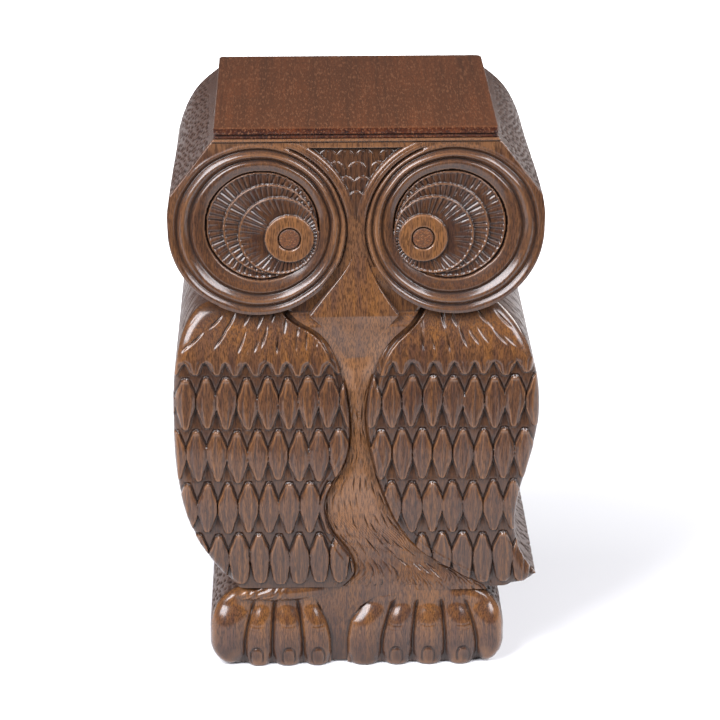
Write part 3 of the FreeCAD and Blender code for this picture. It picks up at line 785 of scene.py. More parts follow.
# The two face boards, warmer and lighter on the discs, with painted light warming and lightening the fascia
# and the strip above the beak.
def makeFaceBoards():
    for side, name in ((-1, "left"), (1, "right")):
        x, z = faceGrid(side)
        depth, stainAndShade = faceDepth(x, z, 3 if side < 0 else 8)
        edge = distanceTo(headSideLine(side), x, z)
        depth = depth + roundOver(edge, 1.0)
        stainAndShade = stainAndShade * softStep(0.0, 1.5, edge)
        spread = np.hypot(np.abs(x) - pupilX, z - pupilZ)
        strip = softStep(27.0, 12.0, np.abs(x)) * softStep(400.0, 375.0, z)
        warm = np.maximum(0.80 * softStep(20.0, 18.5, spread), 0.12 + 0.45 * strip)
        # The discs' own paler tone, and painted light on the fascia and the bead under the top board, on
        # the strip above the beak, which faces up, and a little on the rings.
        paleToneAndPaintedLight = 0.26 * softStep(20.0, 18.5, spread) + 0.30 * softStep(438.0, 447.0, z) + 0.22 * strip
        around = np.hypot(np.abs(x) - owl["socketX"], z - owl["socketZ"])
        paleToneAndPaintedLight = paleToneAndPaintedLight + 0.08 * softStep(44.0, 46.0, around)
        piece = carvedSlab(name + "_face_carving", x, z, depth, stainAndShade, warm, layerY, 0.57,
                           outsideCuts(side, "head"), paleToneAndPaintedLight=paleToneAndPaintedLight)
        finishPiece(piece, carvedWood, name + "_face_board")


# The plug in the middle of an eye: a round peg with a soft edge, r at each height along y.
def makePlug(side, name):
    turn = np.linspace(0.0, 2.0 * np.pi, 72, endpoint=False)[None, :]
    back = nodeBox(name + "_pupil_plug")[1][1]
    radius = (face["plugShows"] - 0.35) * np.array([0.3, 0.6, 0.88, 0.96, 0.99, 1.0, 1.0])[:, None]
    front = frontY + pupilLevel
    y = np.array([front, front, front, front + 0.1, front + 0.4, front + 0.9, back])[:, None]
    spots = np.stack([side * pupilX + radius * np.cos(turn), y + 0.0 * turn,
                      pupilZ + radius * np.sin(turn)], axis=-1)
    number = np.arange(spots.shape[0] * spots.shape[1]).reshape(spots.shape[:2])
    closed = np.concatenate([number, number[:, :1]], axis=1)
    edge = np.repeat(np.array([0, 0, 0, 0.5, 1.0, 1.0, 1.0])[:, None], 72, axis=1)
    piece = buildMesh(name + "_plug_turned", spots.reshape(-1, 3), gridQuads(closed)[:, ::-1],
                      [number[0], number[-1][::-1]], {"cut": 0.0 * edge.ravel(), "stainAndShade": edge.ravel()})
    finishPiece(piece, endGrain, name + "_pupil_plug")


# Gives a piece its finish, with gouged side walls on the carved ones, hangs it on the root and hides the
# CAD node it stands for.
def finishPiece(piece, material, node):
    piece.data.materials.append(material)
    if material == carvedWood:
        piece.data.materials.append(gougedWood)
    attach(piece, "root")
    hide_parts(node)
    print("made", piece.name, len(piece.data.polygons), "faces")


makeFaceBoards()
makePlug(-1, "left")
makePlug(1, "right")


wing = {
    "rowTop": 253.8, "rowPitch": 45.4, "length": 44.0, "half": 8.45, "pitch": 16.5,
    "leftPhase": -71.4, "rightPhase": 61.2,
    "crest": 0.8, "ground": 4.0, "groundDip": 1.6, "crown": 1.5, "sink": 0.5, "halo": 1.3,
    "shoulderZ": 262.0, "shoulderTop": 314.0, "shoulderBack": 15.0, "edgeRound": 9.0,
    "ledge": 4.6, "ledgeDrop": 2.6,
    "strokeCell": (11.0, 17.0), "strokeSize": (1.4, 13.0), "strokeDeep": 1.9,
    # a feather's half width, as a share of the widest, at shares of its length from the top
    "outline": [(0.0, 0.05), (0.015, 0.24), (0.05, 0.37), (0.11, 0.47), (0.20, 0.63), (0.30, 0.86),
                (0.38, 0.98), (0.46, 1.0), (0.58, 1.0), (0.68, 0.88), (0.79, 0.68), (0.90, 0.53),
                (0.96, 0.40), (0.985, 0.28), (1.0, 0.10)],
}


# How high the feathers stand and how they are marked: for each row the nearest feather's centre and
# top are found, s = half(tau) - |dx| is the way in from its edge, and the crest is a dome with ribs.
def featherRows(x, z, side, uneven):
    shares, widths = np.array(wing["outline"]).T
    lift = np.zeros(x.shape)
    crest = np.full(x.shape, wing["crest"])
    halo = np.zeros(x.shape)
    ribs = np.zeros(x.shape)
    dip = np.zeros(x.shape)
    jitter = np.random.default_rng(40 + side).uniform(-1.0, 1.0, (5, 4, 64))
    phase = wing["leftPhase"] if side < 0 else wing["rightPhase"]
    for row in range(5):
        base = phase + (0.5 * wing["pitch"] if row % 2 == 0 else 0.0)
        index = np.floor((x - base) / wing["pitch"] + 0.5).astype(int)
        shift, rise, long, waist = jitter[row][:, index % 64]
        centre = base + index * wing["pitch"] + 0.55 * shift
        head = wing["rowTop"] - (row - 1) * wing["rowPitch"] + 0.9 * rise
        length = wing["length"] + 0.8 * long
        tau = (head - z) / length
        eased = np.clip(tau, 0.0, 1.0) ** (1.0 + 0.14 * waist)
        if row == 0:
            eased = 1.0 - (1.0 - np.clip(tau, 0.0, 1.0)) * 1.5
        half = np.interp(eased, shares, widths) * wing["half"] * (1.0 + 0.04 * long)
        if row == 0:
            half = half + 12.0 * softStep(0.68, 0.48, eased)
        if row == 4:
            half = half * (1.0 + 0.45 * softStep(0.6, 0.95, eased))
        dx = x - centre - 0.5 * uneven - 0.8 * shift * (eased - 0.5)
        inside = np.minimum(half - np.abs(dx), (1.0 - tau) * length * 0.8 + 0.3)
        if row > 0:
            inside = np.minimum(inside, tau * length * 0.8 + 0.3)
            beyond = np.where(tau < 0, np.hypot(np.maximum(np.abs(dx) - 2.0, 0.0), tau * length), -inside)
            arch = np.clip(1.0 - beyond / 1.8, 0.0, 1.0) * softStep(0.50, 0.10, tau) * (tau > -0.08)
            # The halo: a rim just over each feather's top, cut deeper and painted dark as a shadow.
            halo = np.maximum(halo, arch * (inside < 0.4))
        use = softStep(-0.35, 0.45 + 0.9 * softStep(0.55, 0.9, eased), inside)
        use = np.where((tau > -0.02) & (tau < 1.0), use, 0.0)
        q = dx / np.maximum(half, 1.5)
        rib = 0.6 * np.cos(q * 8.5 + 6.0 * shift) + 0.4 * np.cos(q * 14.0 + 9.0 * rise + 2.0 * eased)
        top = wing["crest"] + wing["crown"] * np.abs(q) ** 2.2 + wing["sink"] * np.clip(tau, 0.0, 1.0) ** 2
        top = top + 0.32 * rib * softStep(0.02, 0.15, tau) - 0.45 * softStep(0.09, 0.02, tau) * (row > 0)
        crest = np.where(use > lift, top, crest)
        ribs = np.where(use > lift, rib, ribs)
        lift = np.maximum(lift, use)
        dip = np.maximum(dip, np.exp(-((tau - 0.52) / 0.26) ** 2) * ((tau > 0) & (tau < 1)))
    return lift, crest, halo, ribs * lift, dip


# A wing's relief: feathers over a sunk ground, a smooth shoulder that leans back as the square of its
# height and carries slanted strokes, and a ledge along the inner edge.
def wingDepth(x, z, side, innerEdge, outerEdge):
    uneven = waviness(x, z, 60.0, 21 + side)
    lift, crest, halo, ribs, dip = featherRows(x, z, side, uneven)
    ground = wing["ground"] + wing["groundDip"] * dip + wing["halo"] * halo
    depth = ground * (1 - lift) + crest * lift
    # The ground between the feathers, the halo over their tops and their soft edges are painted darker:
    # painted shade, with the feathers' own streaks along their ribs.
    dark = (0.55 + 0.25 * halo + 0.15 * dip) * (1 - lift) + lift * (0.12 + 0.36 * ribs).clip(0.0, 1.0)
    dark = dark + 1.6 * lift * (1 - lift)
    smooth = softStep(wing["shoulderZ"] + 4.0, wing["shoulderZ"] + 18.0, z)
    depth = depth * (1 - smooth) + (wing["crest"] + 0.4) * smooth
    # Darker just under the ring: painted shadow and old polish.
    dark = dark * (1 - smooth) + 0.40 * softStep(298.0, 312.0, z) * softStep(30.0, 50.0, np.abs(x))
    climb = np.clip((z - wing["shoulderZ"]) / (wing["shoulderTop"] - wing["shoulderZ"]), 0.0, 1.2)
    depth = depth + wing["shoulderBack"] * climb**2
    m = np.abs(x)
    lean = -0.15 - 0.65 * softStep(55.0, 125.0, m)
    stroke = gougeCuts(m, z - 3.0, wing["strokeCell"], wing["strokeSize"], lean, 60 + side, 0.9, 0.3)
    clear = softStep(3.0, 9.0, innerEdge) * softStep(2.0, 6.0, outerEdge)
    stroke = stroke * softStep(272.0, 280.0, z) * clear
    depth = depth + wing["strokeDeep"] * stroke
    ledge = softStep(wing["ledge"] + 0.9, wing["ledge"] - 0.3, innerEdge + 0.5 * uneven)
    ledge = ledge * (0.20 + 0.80 * softStep(236.0, 258.0, z))
    depth = depth + wing["ledgeDrop"] * ledge + roundOver(innerEdge, 1.6)
    border = np.clip(1.0 - np.abs(innerEdge - wing["ledge"] - 1.6) / 1.6, 0.0, 1.0)
    depth = depth - 0.5 * border * (1 - lift * 0.5)
    depth = depth + roundOver(outerEdge, wing["edgeRound"]) * 0.8
    # Darker on the ledge along the inner edge: painted shade.
    dark = np.clip(dark + 0.30 * ledge, 0.0, 1.0) * softStep(0.2, 1.6, outerEdge)
    return np.clip(depth + 0.2 * uneven, 0.3, None), dark, ribs * (1 - smooth)


# The two wings, with painted light warming the shoulders, and darker towards the feet.
def makeWings():
    for side, name in ((-1, "left"), (1, "right")):
        outer = flankLine(side)
        inner = leftWingEdge if side < 0 else rightWingEdge
        heights = np.concatenate([baseTopZ + 10.0 * (1.0 - np.cos(np.linspace(0.0, 1.2, 14)))[:-1],
                                  np.arange(baseTopZ + 10.0 * (1.0 - np.cos(1.2)), neckZ - 6.0, 0.72),
                                  np.linspace(neckZ - 5.8, neckZ, 16)])
        ends = (outer, inner) if side < 0 else (inner, outer)
        x, z = rowGrid(heights, *ends, 220)
        outerEdge = distanceTo(outer, x, z)
        depth, stainAndShade, ribs = wingDepth(x, z, side, distanceTo(inner, x, z), outerEdge)
        # Painted light: the shoulders, which face up to the lamps, are painted warmer.
        glow = softStep(255.0, 282.0, z) * softStep(1.0, 9.0, outerEdge) * softStep(312.0, 292.0, z)
        warm = np.clip(0.20 - 0.34 * ribs, 0.0, 1.0) + 0.50 * glow
        stainAndShade = np.clip(stainAndShade + 0.30 * softStep(180.0, 90.0, z), 0.0, 1.0)
        piece = carvedSlab(name + "_wing_carving", x, z, depth, stainAndShade, warm, layerY, 0.72,
                           outsideCuts(side, "body"), paleToneAndPaintedLight=0.07)
        finishPiece(piece, carvedWood, name + "_wing")


makeWings()


breast = {"level": 8.6, "edge": 0.7, "edgeWidth": 2.4, "top": 346.0, "low": 66.0,
          "strokeCell": (4.8, 19.0), "strokeSize": (0.85, 9.5), "strokeDeep": 1.4,
          "topRise": 2.3, "lowRise": 2.4, "middleRise": 1.6}


beak = {"thick": 12.5, "ridgeZ": 306.5, "ridgeDepth": 0.3, "topZ": 362.0, "topDepth": 7.0,
        "pointZ": 254.0, "pointDepth": 8.9,
        "leftEdge": [(-1.5, 362.0), (-3.5, 354.0), (-19.0, 330.0), (-37.5, 306.5)],
        "leftLow": [(-37.5, 306.5), (-27.0, 296.0), (-16.5, 281.0), (-6.0, 264.0), (0.2, 254.0)],
        "rightEdge": [(7.0, 362.0), (8.5, 355.0), (16.0, 334.0), (33.8, 306.5)],
        "rightLow": [(33.8, 306.5), (24.0, 294.0), (13.5, 280.0), (5.5, 264.0), (1.4, 254.0)]}


# The breast: a sunk strip between the wings' edges. Its strokes lean with dx/dz, the way it flows, and
# above the beak's point it follows the beak's lower plane.
def makeBreast():
    heights = np.arange(breast["low"], breast["top"], 0.8)
    left = np.concatenate([leftWingEdge, [(-14.0, 60.0)]])
    right = np.concatenate([rightWingEdge, [(112.0, 60.0)]])
    x, z = rowGrid(heights, left, right, 150)
    flow = np.gradient(x, axis=0) / np.gradient(z, axis=0)
    edge = np.minimum(distanceTo(left, x, z), distanceTo(right, x, z))
    strokes = gougeCuts(x, z, breast["strokeCell"], breast["strokeSize"], np.arctan(flow), 71, 0.85)
    fine = 0.18 * np.cos((x - flow * z) * 2.4 + 2.0 * waviness(x, z, 40.0, 73))
    fade = softStep(250.0, 225.0, z)
    depth = breast["level"] + breast["edge"] * softStep(breast["edgeWidth"], 0.5, edge)
    depth = depth + breast["strokeDeep"] * strokes * fade + fine * fade
    depth = depth + 0.5 * waviness(x, z, 55.0, 72) - breast["lowRise"] * softStep(96.0, 68.0, z)
    middle = softStep(0.0, 11.0, edge) * softStep(278.0, 258.0, z) * softStep(90.0, 130.0, z)
    depth = depth - breast["middleRise"] * middle
    depth = depth - breast["topRise"] * softStep(316.0, 345.0, z)
    under = (beak["ridgeZ"] - z) / (beak["ridgeZ"] - beak["pointZ"])
    facet = beak["ridgeDepth"] + 0.2 + under * (beak["pointDepth"] - beak["ridgeDepth"])
    facet = facet + 7.0 * softStep(297.0, 307.0, z) + 0.2 * waviness(x, z, 30.0, 81)
    near = (z > beak["pointZ"] - 12.0) & (z < beak["ridgeZ"] + 1.0)
    depth = np.where(near, softLow(depth, facet, 1.1), depth)
    # Painted shade along the wings' edges and in the strokes, with old polish in the strokes too; darker
    # towards the bottom.
    stainAndShade = 0.15 * softStep(2.6, 0.4, edge) + 0.65 * strokes * fade + 0.22 * softStep(120.0, 80.0, z)
    warm = 0.50 + 0.22 * softStep(130.0, 180.0, z)
    # Painted light on the breast's middle, which the wings' walls shade, and on its slopes beside the beak.
    paleToneAndPaintedLight = 0.04 + 0.42 * softStep(90.0, 150.0, z) * softStep(0.5, 3.0, edge) * softStep(300.0, 250.0, z)
    paleToneAndPaintedLight = paleToneAndPaintedLight + 0.16 * softStep(252.0, 262.0, z) * softStep(306.0, 298.0, z)
    paleToneAndPaintedLight = paleToneAndPaintedLight + 0.20 * softStep(306.0, 336.0, z)
    piece = carvedSlab("breast_carving", x, z, depth, stainAndShade, warm, layerY, 0.8, wallRows=6, paleToneAndPaintedLight=paleToneAndPaintedLight)
    finishPiece(piece, carvedWood, "breast_board")


# The beak: two flat facets that fall away from the ridge, upwards and down to the point.
def makeBeak():
    left = np.concatenate([smoothLine(beak["leftEdge"]), smoothLine(beak["leftLow"])[1:]])
    right = np.concatenate([smoothLine(beak["rightEdge"]), smoothLine(beak["rightLow"])[1:]])
    heights = np.arange(beak["pointZ"], beak["topZ"], 0.6)
    x, z = rowGrid(heights, left, right, 110)
    upper = (z - beak["ridgeZ"]) / (beak["topZ"] - beak["ridgeZ"])
    lower = (beak["ridgeZ"] - z) / (beak["ridgeZ"] - beak["pointZ"])
    depth = beak["ridgeDepth"] + np.where(upper > 0, upper * (beak["topDepth"] - beak["ridgeDepth"]),
                                          lower * (beak["pointDepth"] - beak["ridgeDepth"]))
    depth = np.where(upper < 0, softLow(depth, breast["level"] - 0.2 + 0.0 * z, 1.1), depth)
    edge = np.minimum(distanceTo(left, x, z), distanceTo(right, x, z))
    bevel = softStep(3.4, 0.6, distanceTo(left[left[:, 1] > beak["ridgeZ"]], x, z))
    depth = depth + roundOver(edge, 1.1) + 0.4 * bevel + 0.2 * waviness(x, z, 30.0, 81)
    stainAndShade = 0.10 * softStep(300.0, 270.0, z)
    # Painted light: the upper facet, which faces up, is painted warmer, and the lower facet, which faces
    # the floor, paler.
    warm = 0.62 + 0.22 * softStep(beak["ridgeZ"] - 1.0, beak["ridgeZ"] + 1.0, z)
    paleToneAndPaintedLight = 0.10 + 0.10 * softStep(beak["ridgeZ"] + 1.0, beak["ridgeZ"] - 1.0, z)
    piece = carvedSlab("beak_carving", x, z, depth, stainAndShade, warm, frontY + beak["thick"], 0.6, wallRows=6,
                       paleToneAndPaintedLight=paleToneAndPaintedLight)
    finishPiece(piece, carvedWood, "beak")


makeBreast()
makeBeak()


feet = {
    "pull": 0.40, "pullFrom": 18.0, "pullTo": 66.0, "bulge": 5.8, "level": 0.2, "hollow": 9.2, "web": 6.4,
    "left": {"grooves": (-92.6, -70.0, -44.6, -21.5), "towards": -61.0, "outer": -121.0,
             "nails": (-82.9, -56.4, -32.2)},
    "right": {"grooves": (-8.0, 20.4, 45.8, 72.6, 98.8), "towards": 60.5, "outer": 121.0,
              "nails": (32.1, 58.6, 87.6)},
    "nailHalf": 5.3, "nailTall": 8.0, "nailZ": 8.8, "grooveTop": 57.0,
    "rollFrom": 30.0, "rollTo": 60.0, "rollBack": 10.5,
    "tuft": {"left": -106.0, "right": -10.0, "low": 57.0, "high": 72.5, "level": 2.6},
    # the right foot's inner edge, from the floor up to where the breast flows out over it
    "innerEdge": [(-8.0, 0.0), (-7.6, 24.0), (-5.0, 38.3), (3.1, 50.9), (14.7, 59.6), (31.9, 63.1)],
}


# Toes side by side: each is level + bulge (1 - sqrt(1 - u^2)) between two grooves that lean together
# upwards; nails are rounded ovals set in a fine line; the tops roll back; a tuft lies over the left.
def footDepth(x, z, shape, side):
    climb = np.clip((z - feet["pullFrom"]) / (feet["pullTo"] - feet["pullFrom"]), 0.0, 1.1)
    bounds = [g + (shape["towards"] - g) * feet["pull"] * climb**1.6 for g in shape["grooves"]]
    outer = np.full(x.shape, shape["outer"] + 2.0 * side)
    if side < 0:
        bounds = [outer] + bounds
    else:
        bounds = bounds + [outer]
        edgeX, edgeZ = np.array(feet["innerEdge"]).T
        bounds[0] = np.interp(z, edgeZ, edgeX) + 40.0 * softStep(62.0, 68.0, z)
    depth = feet["hollow"] - (feet["hollow"] - feet["web"]) * softStep(32.0, 64.0, z + 0.0 * x)
    stainAndShade = np.full(x.shape, 0.15)
    onToe = np.zeros(x.shape)
    part = softStep(feet["grooveTop"] + 3.0, feet["grooveTop"] - 9.0, z)
    for a, b in zip(bounds[:-1], bounds[1:]):
        u = np.clip((2.0 * x - a - b) / np.maximum(b - a, 1.0), -1.0, 1.0)
        wide = np.clip(np.abs(u) * (1.0 + 0.30 * softStep(14.0, 0.0, z)), 0.0, 1.0)
        dome = 0.75 * wide**2.2 + 0.25 * (1.0 - np.sqrt(1.0 - 0.97 * wide**2))
        toe = feet["level"] + feet["bulge"] * dome * (0.12 + 0.88 * part)
        inside = (x >= a) & (x < b)
        onToe = np.where(inside, 1.0, onToe)
        depth = np.where(inside, toe, depth)
        groove = np.clip(1.0 - np.minimum(np.abs(x - a), np.abs(x - b)) / 1.1, 0.0, 1.0) * part
        depth = np.where(inside, depth + 0.8 * groove, depth)
        # Darker in the grooves between the toes and towards each toe's sides: painted shade.
        stainAndShade = np.where(inside, 0.35 * groove + 0.12 * np.abs(u) ** 3 * part, stainAndShade)
    for nail in shape["nails"]:
        across, up = (x - nail) / feet["nailHalf"], (z - feet["nailZ"]) / feet["nailTall"]
        r = (np.abs(across) ** 2.3 + np.abs(up) ** 2.3) ** (1 / 2.3)
        line = np.clip(1.0 - np.abs(r - 1.0) * feet["nailHalf"] / 1.0, 0.0, 1.0) * softStep(1.0, 7.0, z)
        depth = depth + 1.1 * line + 0.5 * softStep(0.80, 0.95, r) * (r < 1.0) * softStep(2.0, 8.0, z)
        stainAndShade = np.maximum(stainAndShade, 0.85 * line)
        for knuckle in (32.5, 36.0):
            bend = np.abs(z - knuckle - 0.02 * (x - nail) ** 2)
            mark = np.clip(1.0 - bend / 0.7, 0.0, 1.0) * softStep(7.5, 4.0, np.abs(x - nail))
            depth = depth + 0.25 * mark
    over = np.clip((z - feet["rollFrom"]) / (feet["rollTo"] - feet["rollFrom"]), 0.0, None)
    back = softLow(feet["rollBack"] * over**2, feet["web"] - 0.4 + 0.0 * z, 0.6)
    depth = depth + back * onToe
    depth = depth + 0.9 * roundOver(z, 4.0)
    stainAndShade = stainAndShade + 0.50 * softStep(30.0, 2.0, z)
    if side < 0:
        tuft = feet["tuft"]
        middle = (tuft["low"] + tuft["high"]) / 2 + 1.6 * waviness(x, 0.0 * z, 50.0, 57)
        across = (z - middle) / ((tuft["high"] - tuft["low"]) / 2)
        ends = softStep(tuft["left"], tuft["left"] + 14.0, x)
        ends = ends * softStep(tuft["right"], tuft["right"] - 44.0, x)
        strand = 0.30 * np.cos((x - 1.3 * z) * 0.8 + 3.0 * waviness(x, z, 30.0, 58))
        strand = strand * softStep(-50.0, -70.0, x)
        roll = tuft["level"] + 8.0 * (1.0 - np.sqrt(np.clip(1.0 - across**2, 0.0, 1.0))) + strand
        roll = roll + 5.5 * (1.0 - ends) + 14.0 * np.clip(np.abs(across) - 0.95, 0.0, None)
        stainAndShade = np.where(roll < depth, 0.30 + 0.5 * strand, stainAndShade)
        depth = softLow(depth, roll, 0.7)
    return depth, stainAndShade, onToe


# The two foot blocks, rounded at the outer edge and warm on the toes.
def makeFeet():
    for side, name in ((-1, "left"), (1, "right")):
        line = baseSideLine(side)
        rise = np.linspace(0.0, np.pi / 2, 20)
        heights = np.concatenate([16.0 * (1.0 - np.cos(rise))[:-1], np.arange(16.0, baseTopZ - 12.0, 0.65),
                                  baseTopZ - 12.0 + 12.0 * np.sin(np.linspace(0.02, np.pi / 2, 26))])
        inner = np.array([(owl["feetSplit"], 0.0), (owl["feetSplit"], baseTopZ)])
        ends = (line, inner) if side < 0 else (inner, line)
        x, z = rowGrid(heights, *ends, 190)
        depth, stainAndShade, onToe = footDepth(x, z, feet[name], side)
        edge = distanceTo(line, x, z)
        depth = depth + roundOver(edge, 5.0) * 0.7 + roundOver(edge, 18.0) * 0.35
        warm = 0.02 + (0.30 + 0.35 * onToe) * softStep(14.0, 40.0, z)
        piece = carvedSlab(name + "_foot_carving", x, z, depth, np.clip(stainAndShade, 0, 1), warm, layerY, 0.63,
                           outsideCuts(side, "base"))
        finishPiece(piece, carvedWood, name + "_foot")


makeFeet()


# A side block: its outer face is the outline carried from y0 to y1 and pushed in by the cuts; flat
# faces close it at both ends, above, below and inside.
def sideBlock(name, line, rearLine, y0, y1, cutsAt, deep, columns):
    line, rearLine = evenly(line, columns), evenly(rearLine, columns)
    count = int((y1 - y0) / 1.5)
    y = np.linspace(y0, y1, count)[None, :]
    rear = softStep(y0, y1, y)
    x = line[:, :1] * (1 - rear) + rearLine[:, :1] * rear
    z = line[:, 1:] * (1 - rear) + rearLine[:, 1:] * rear
    along = np.gradient(line, axis=0)
    along /= np.hypot(along[:, 0], along[:, 1])[:, None]
    side = np.sign(line[:, 0].mean())
    cut = cutsAt(x, y + 0.0 * x, z)
    cut[0] = 0.0
    cut[-1] = 0.0
    x = x + side * along[:, 1:] * deep * cut
    z = z - side * along[:, :1] * deep * cut
    number = np.arange(x.size).reshape(x.shape)
    inner = side * cavityX
    extra = np.array([(inner, y0, line[0, 1]), (inner, y1, line[0, 1]), (inner, y1, line[-1, 1]),
                      (inner, y0, line[-1, 1])])
    a, b, c, d = x.size, x.size + 1, x.size + 2, x.size + 3
    points = np.concatenate([np.column_stack([x.ravel(), (y + 0.0 * x).ravel(), z.ravel()]), extra])
    quads = gridQuads(number)
    others = [np.concatenate([number[:, 0][::-1], [a, d]]), np.concatenate([number[:, -1], [c, b]]),
              np.concatenate([number[0], [b, a]]), np.concatenate([number[-1][::-1], [d, c]]),
              np.array([a, b, c, d])]
    if side < 0:
        quads = quads[:, ::-1]
        others = [face[::-1] for face in others]
    sharp = np.zeros(len(points), bool)
    sharp[rimOf(number)] = True
    sharp[a:] = True
    # The gouges are painted darker: old polish in them and painted shade.
    fields = {"cut": np.concatenate([cut.ravel(), np.zeros(4)]),
              "stainAndShade": np.concatenate([cut.ravel() * 0.9 + 0.05, np.zeros(4)])}
    return buildMesh(name, points, quads, others, fields, sharp)


# The three tiers of gouged side blocks, left and right.
def makeSides():
    for side, name in ((-1, "left"), (1, "right")):
        for part, line, rearLine, deep, columns in (
                ("head", headSideLine(side), rearHeadLine(side), gouges["deep"], 210),
                ("body", flankLine(side), flankLine(side), gouges["hatchDeep"], 330),
                ("base", baseSideLine(side), baseSideLine(side), gouges["deep"], 130)):
            node = name + "_" + part + "_side"
            piece = sideBlock(node + "_gouged", line, rearLine, layerY, rearY,
                              lambda x, y, z: sideCuts(part, side, x, y, z), deep, columns)
            finishPiece(piece, gougedWood, node)


makeSides()


rear = {"seam": 48.0, "cell": (11.0, 24.0), "size": (4.6, 12.5), "deep": 1.0, "edgeRound": 6.0, "step": 1.3}


# The three back boards: vertical gouge strokes all over, the owl's outline at the sides, worn edges.
def makeBackBoards():
    heights = np.concatenate([np.linspace(0.0, 6.0, 9)[:-1], np.arange(6.0, baseTopZ - 0.6, rear["step"]),
                              [baseTopZ - 0.15, baseTopZ + 0.15],
                              np.arange(baseTopZ + 1.0, headTopZ - 6.0, rear["step"]),
                              np.linspace(headTopZ - 6.0, headTopZ, 9)])
    for side, name in ((-1, "left"), (0, "centre"), (1, "right")):
        seam = rear["seam"]
        if side:
            base = baseSideLine(side) * (1.0, (baseTopZ - 0.2) / baseTopZ)
            line = np.concatenate([rearHeadLine(side), flankLine(side)[1:], base])
            inner = np.array([(side * seam, 0.0), (side * seam, headTopZ)])
            ends = (line, inner) if side < 0 else (inner, line)
        else:
            line = np.array([(0.0, headTopZ), (0.0, headTopZ + 1.0)])
            ends = [np.array([(k * seam, 0.0), (k * seam, headTopZ)]) for k in (-1, 1)]
        x, z = rowGrid(heights, *ends, 76)
        cut = gougeCuts(x, z, rear["cell"], rear["size"], 0.1, 121 + side)
        edge = distanceTo(line, x, z) if side else np.full(x.shape, 50.0)
        inward = np.minimum(edge, np.minimum(headTopZ - z, z + 3.0))
        depth = 0.4 + rear["deep"] * cut * softStep(2.0, 8.0, inward) + roundOver(inward, rear["edgeRound"])
        seamCut = softStep(1.2, 0.2, np.abs(np.abs(x) - seam))
        # Darker in the gouges, old polish and painted shade, and at the seams.
        stainAndShade = 0.1 + 0.5 * cut + 0.3 * seamCut
        piece = carvedSlab(name + "_back_gouged", x, z, depth + 0.4 * seamCut, stainAndShade, 0.1, rearY,
                           rear["step"], outsideRear(side, line) if side else None, 20, backY, -1)
        finishPiece(piece, gougedWood, name + "_back_board")


# The side blocks' cuts carried on round the back boards' edges, fading out at the back.
def outsideRear(side, line):
    # Strong near the outline, and of the kind that belongs at each height.
    def cuts(x, y, z):
        outside = softStep(3.0, 1.0, distanceTo(line, x, z)) * softStep(backY - 2.0, backY - 8.0, y)
        body = sideCuts("body", side, x, y, z) * (gouges["hatchDeep"] / gouges["deep"])
        deep = np.where(z > neckZ, sideCuts("head", side, x, y, z),
                        np.where(z > baseTopZ, body, sideCuts("base", side, x, y, z)))
        return deep * outside, gouges["deep"]
    return cuts


makeBackBoards()


top = {"lean": 6.0, "round": 3.0, "rearRound": 6.0, "low": 452.0, "front": frontY + 0.6,
       # the moulded edge from below: how far in, and how high
       "edge": [(1.4, 452.0), (0.8, 452.3), (0.5, 453.0), (0.8, 453.9), (2.2, 454.1), (2.4, 454.8),
                (2.2, 455.4), (0.5, 455.6), (0.1, 456.2), (0.0, 457.5), (0.1, 458.7), (0.5, 459.5),
                (1.2, 459.9), (2.6, 460.0)]}


# The top board: its moulded edge carried round a rectangle with rounded corners, flat above and below.
def makeTopBoard():
    inset, height = np.array(top["edge"]).T
    corners = [(1, 1, 0.0, top["rearRound"]), (-1, 1, 90.0, top["round"]), (-1, -1, 180.0, top["round"]),
               (1, -1, 270.0, top["round"])]
    rows = []
    for sx, sy, start, radius in corners:
        turn = np.radians(np.linspace(start, start + 90.0, 12))[None, :]
        cx = sx * (owl["topHalf"] - radius)
        cy = backY - radius if sy > 0 else top["front"] + radius
        reach = np.maximum(radius - inset, 0.2)[:, None]
        rows.append(np.stack([cx + reach * np.cos(turn), cy + reach * np.sin(turn),
                              np.repeat(height[:, None], 12, axis=1)], axis=-1))
    ring = np.concatenate(rows, axis=1)
    ends = np.roll(ring, -1, axis=1)
    steps = 24
    blend = np.linspace(0.0, 1.0, steps, endpoint=False)[None, None, :, None]
    fine = ring[:, :, None] * (1 - blend) + ends[:, :, None] * blend
    fine = fine.reshape(len(inset), -1, 3)
    forward = (fine[:, :, 1] < 0) * np.clip((fine[:, :, 2] - 454.9) / 5.1, 0.0, 1.0)
    fine[:, :, 1] += top["lean"] * forward
    rough = waviness(fine[:, :, 0] + fine[:, :, 1], fine[:, :, 2] * 2.0, 11.0, 131)
    edgeDown = softStep(455.5, 457.0, fine[:, :, 2]) * softStep(460.0, 459.0, fine[:, :, 2])
    fine[:, :, 1] += 0.16 * rough * edgeDown * (fine[:, :, 1] < 0)
    number = np.arange(fine.shape[0] * fine.shape[1]).reshape(fine.shape[:2])
    closed = np.concatenate([number, number[:, :1]], axis=1)
    # A dark line in the groove of the moulded edge, old polish and painted shade, and paler where the top
    # edge is worn.
    middle = 1.0 - np.abs(fine[:, :, 2] - 454.7)
    wear = -0.9 * softStep(458.6, 459.6, fine[:, :, 2]) * softStep(460.2, 459.9, fine[:, :, 2])
    cut = np.clip(middle, 0.0, 1.0) + wear
    piece = buildMesh("top_board_moulded", fine.reshape(-1, 3), gridQuads(closed),
                      [number[-1], number[0][::-1]], {"cut": cut.ravel(), "stainAndShade": np.zeros(cut.size)})
    finishPiece(piece, smoothWood, "top_board")


makeTopBoard()

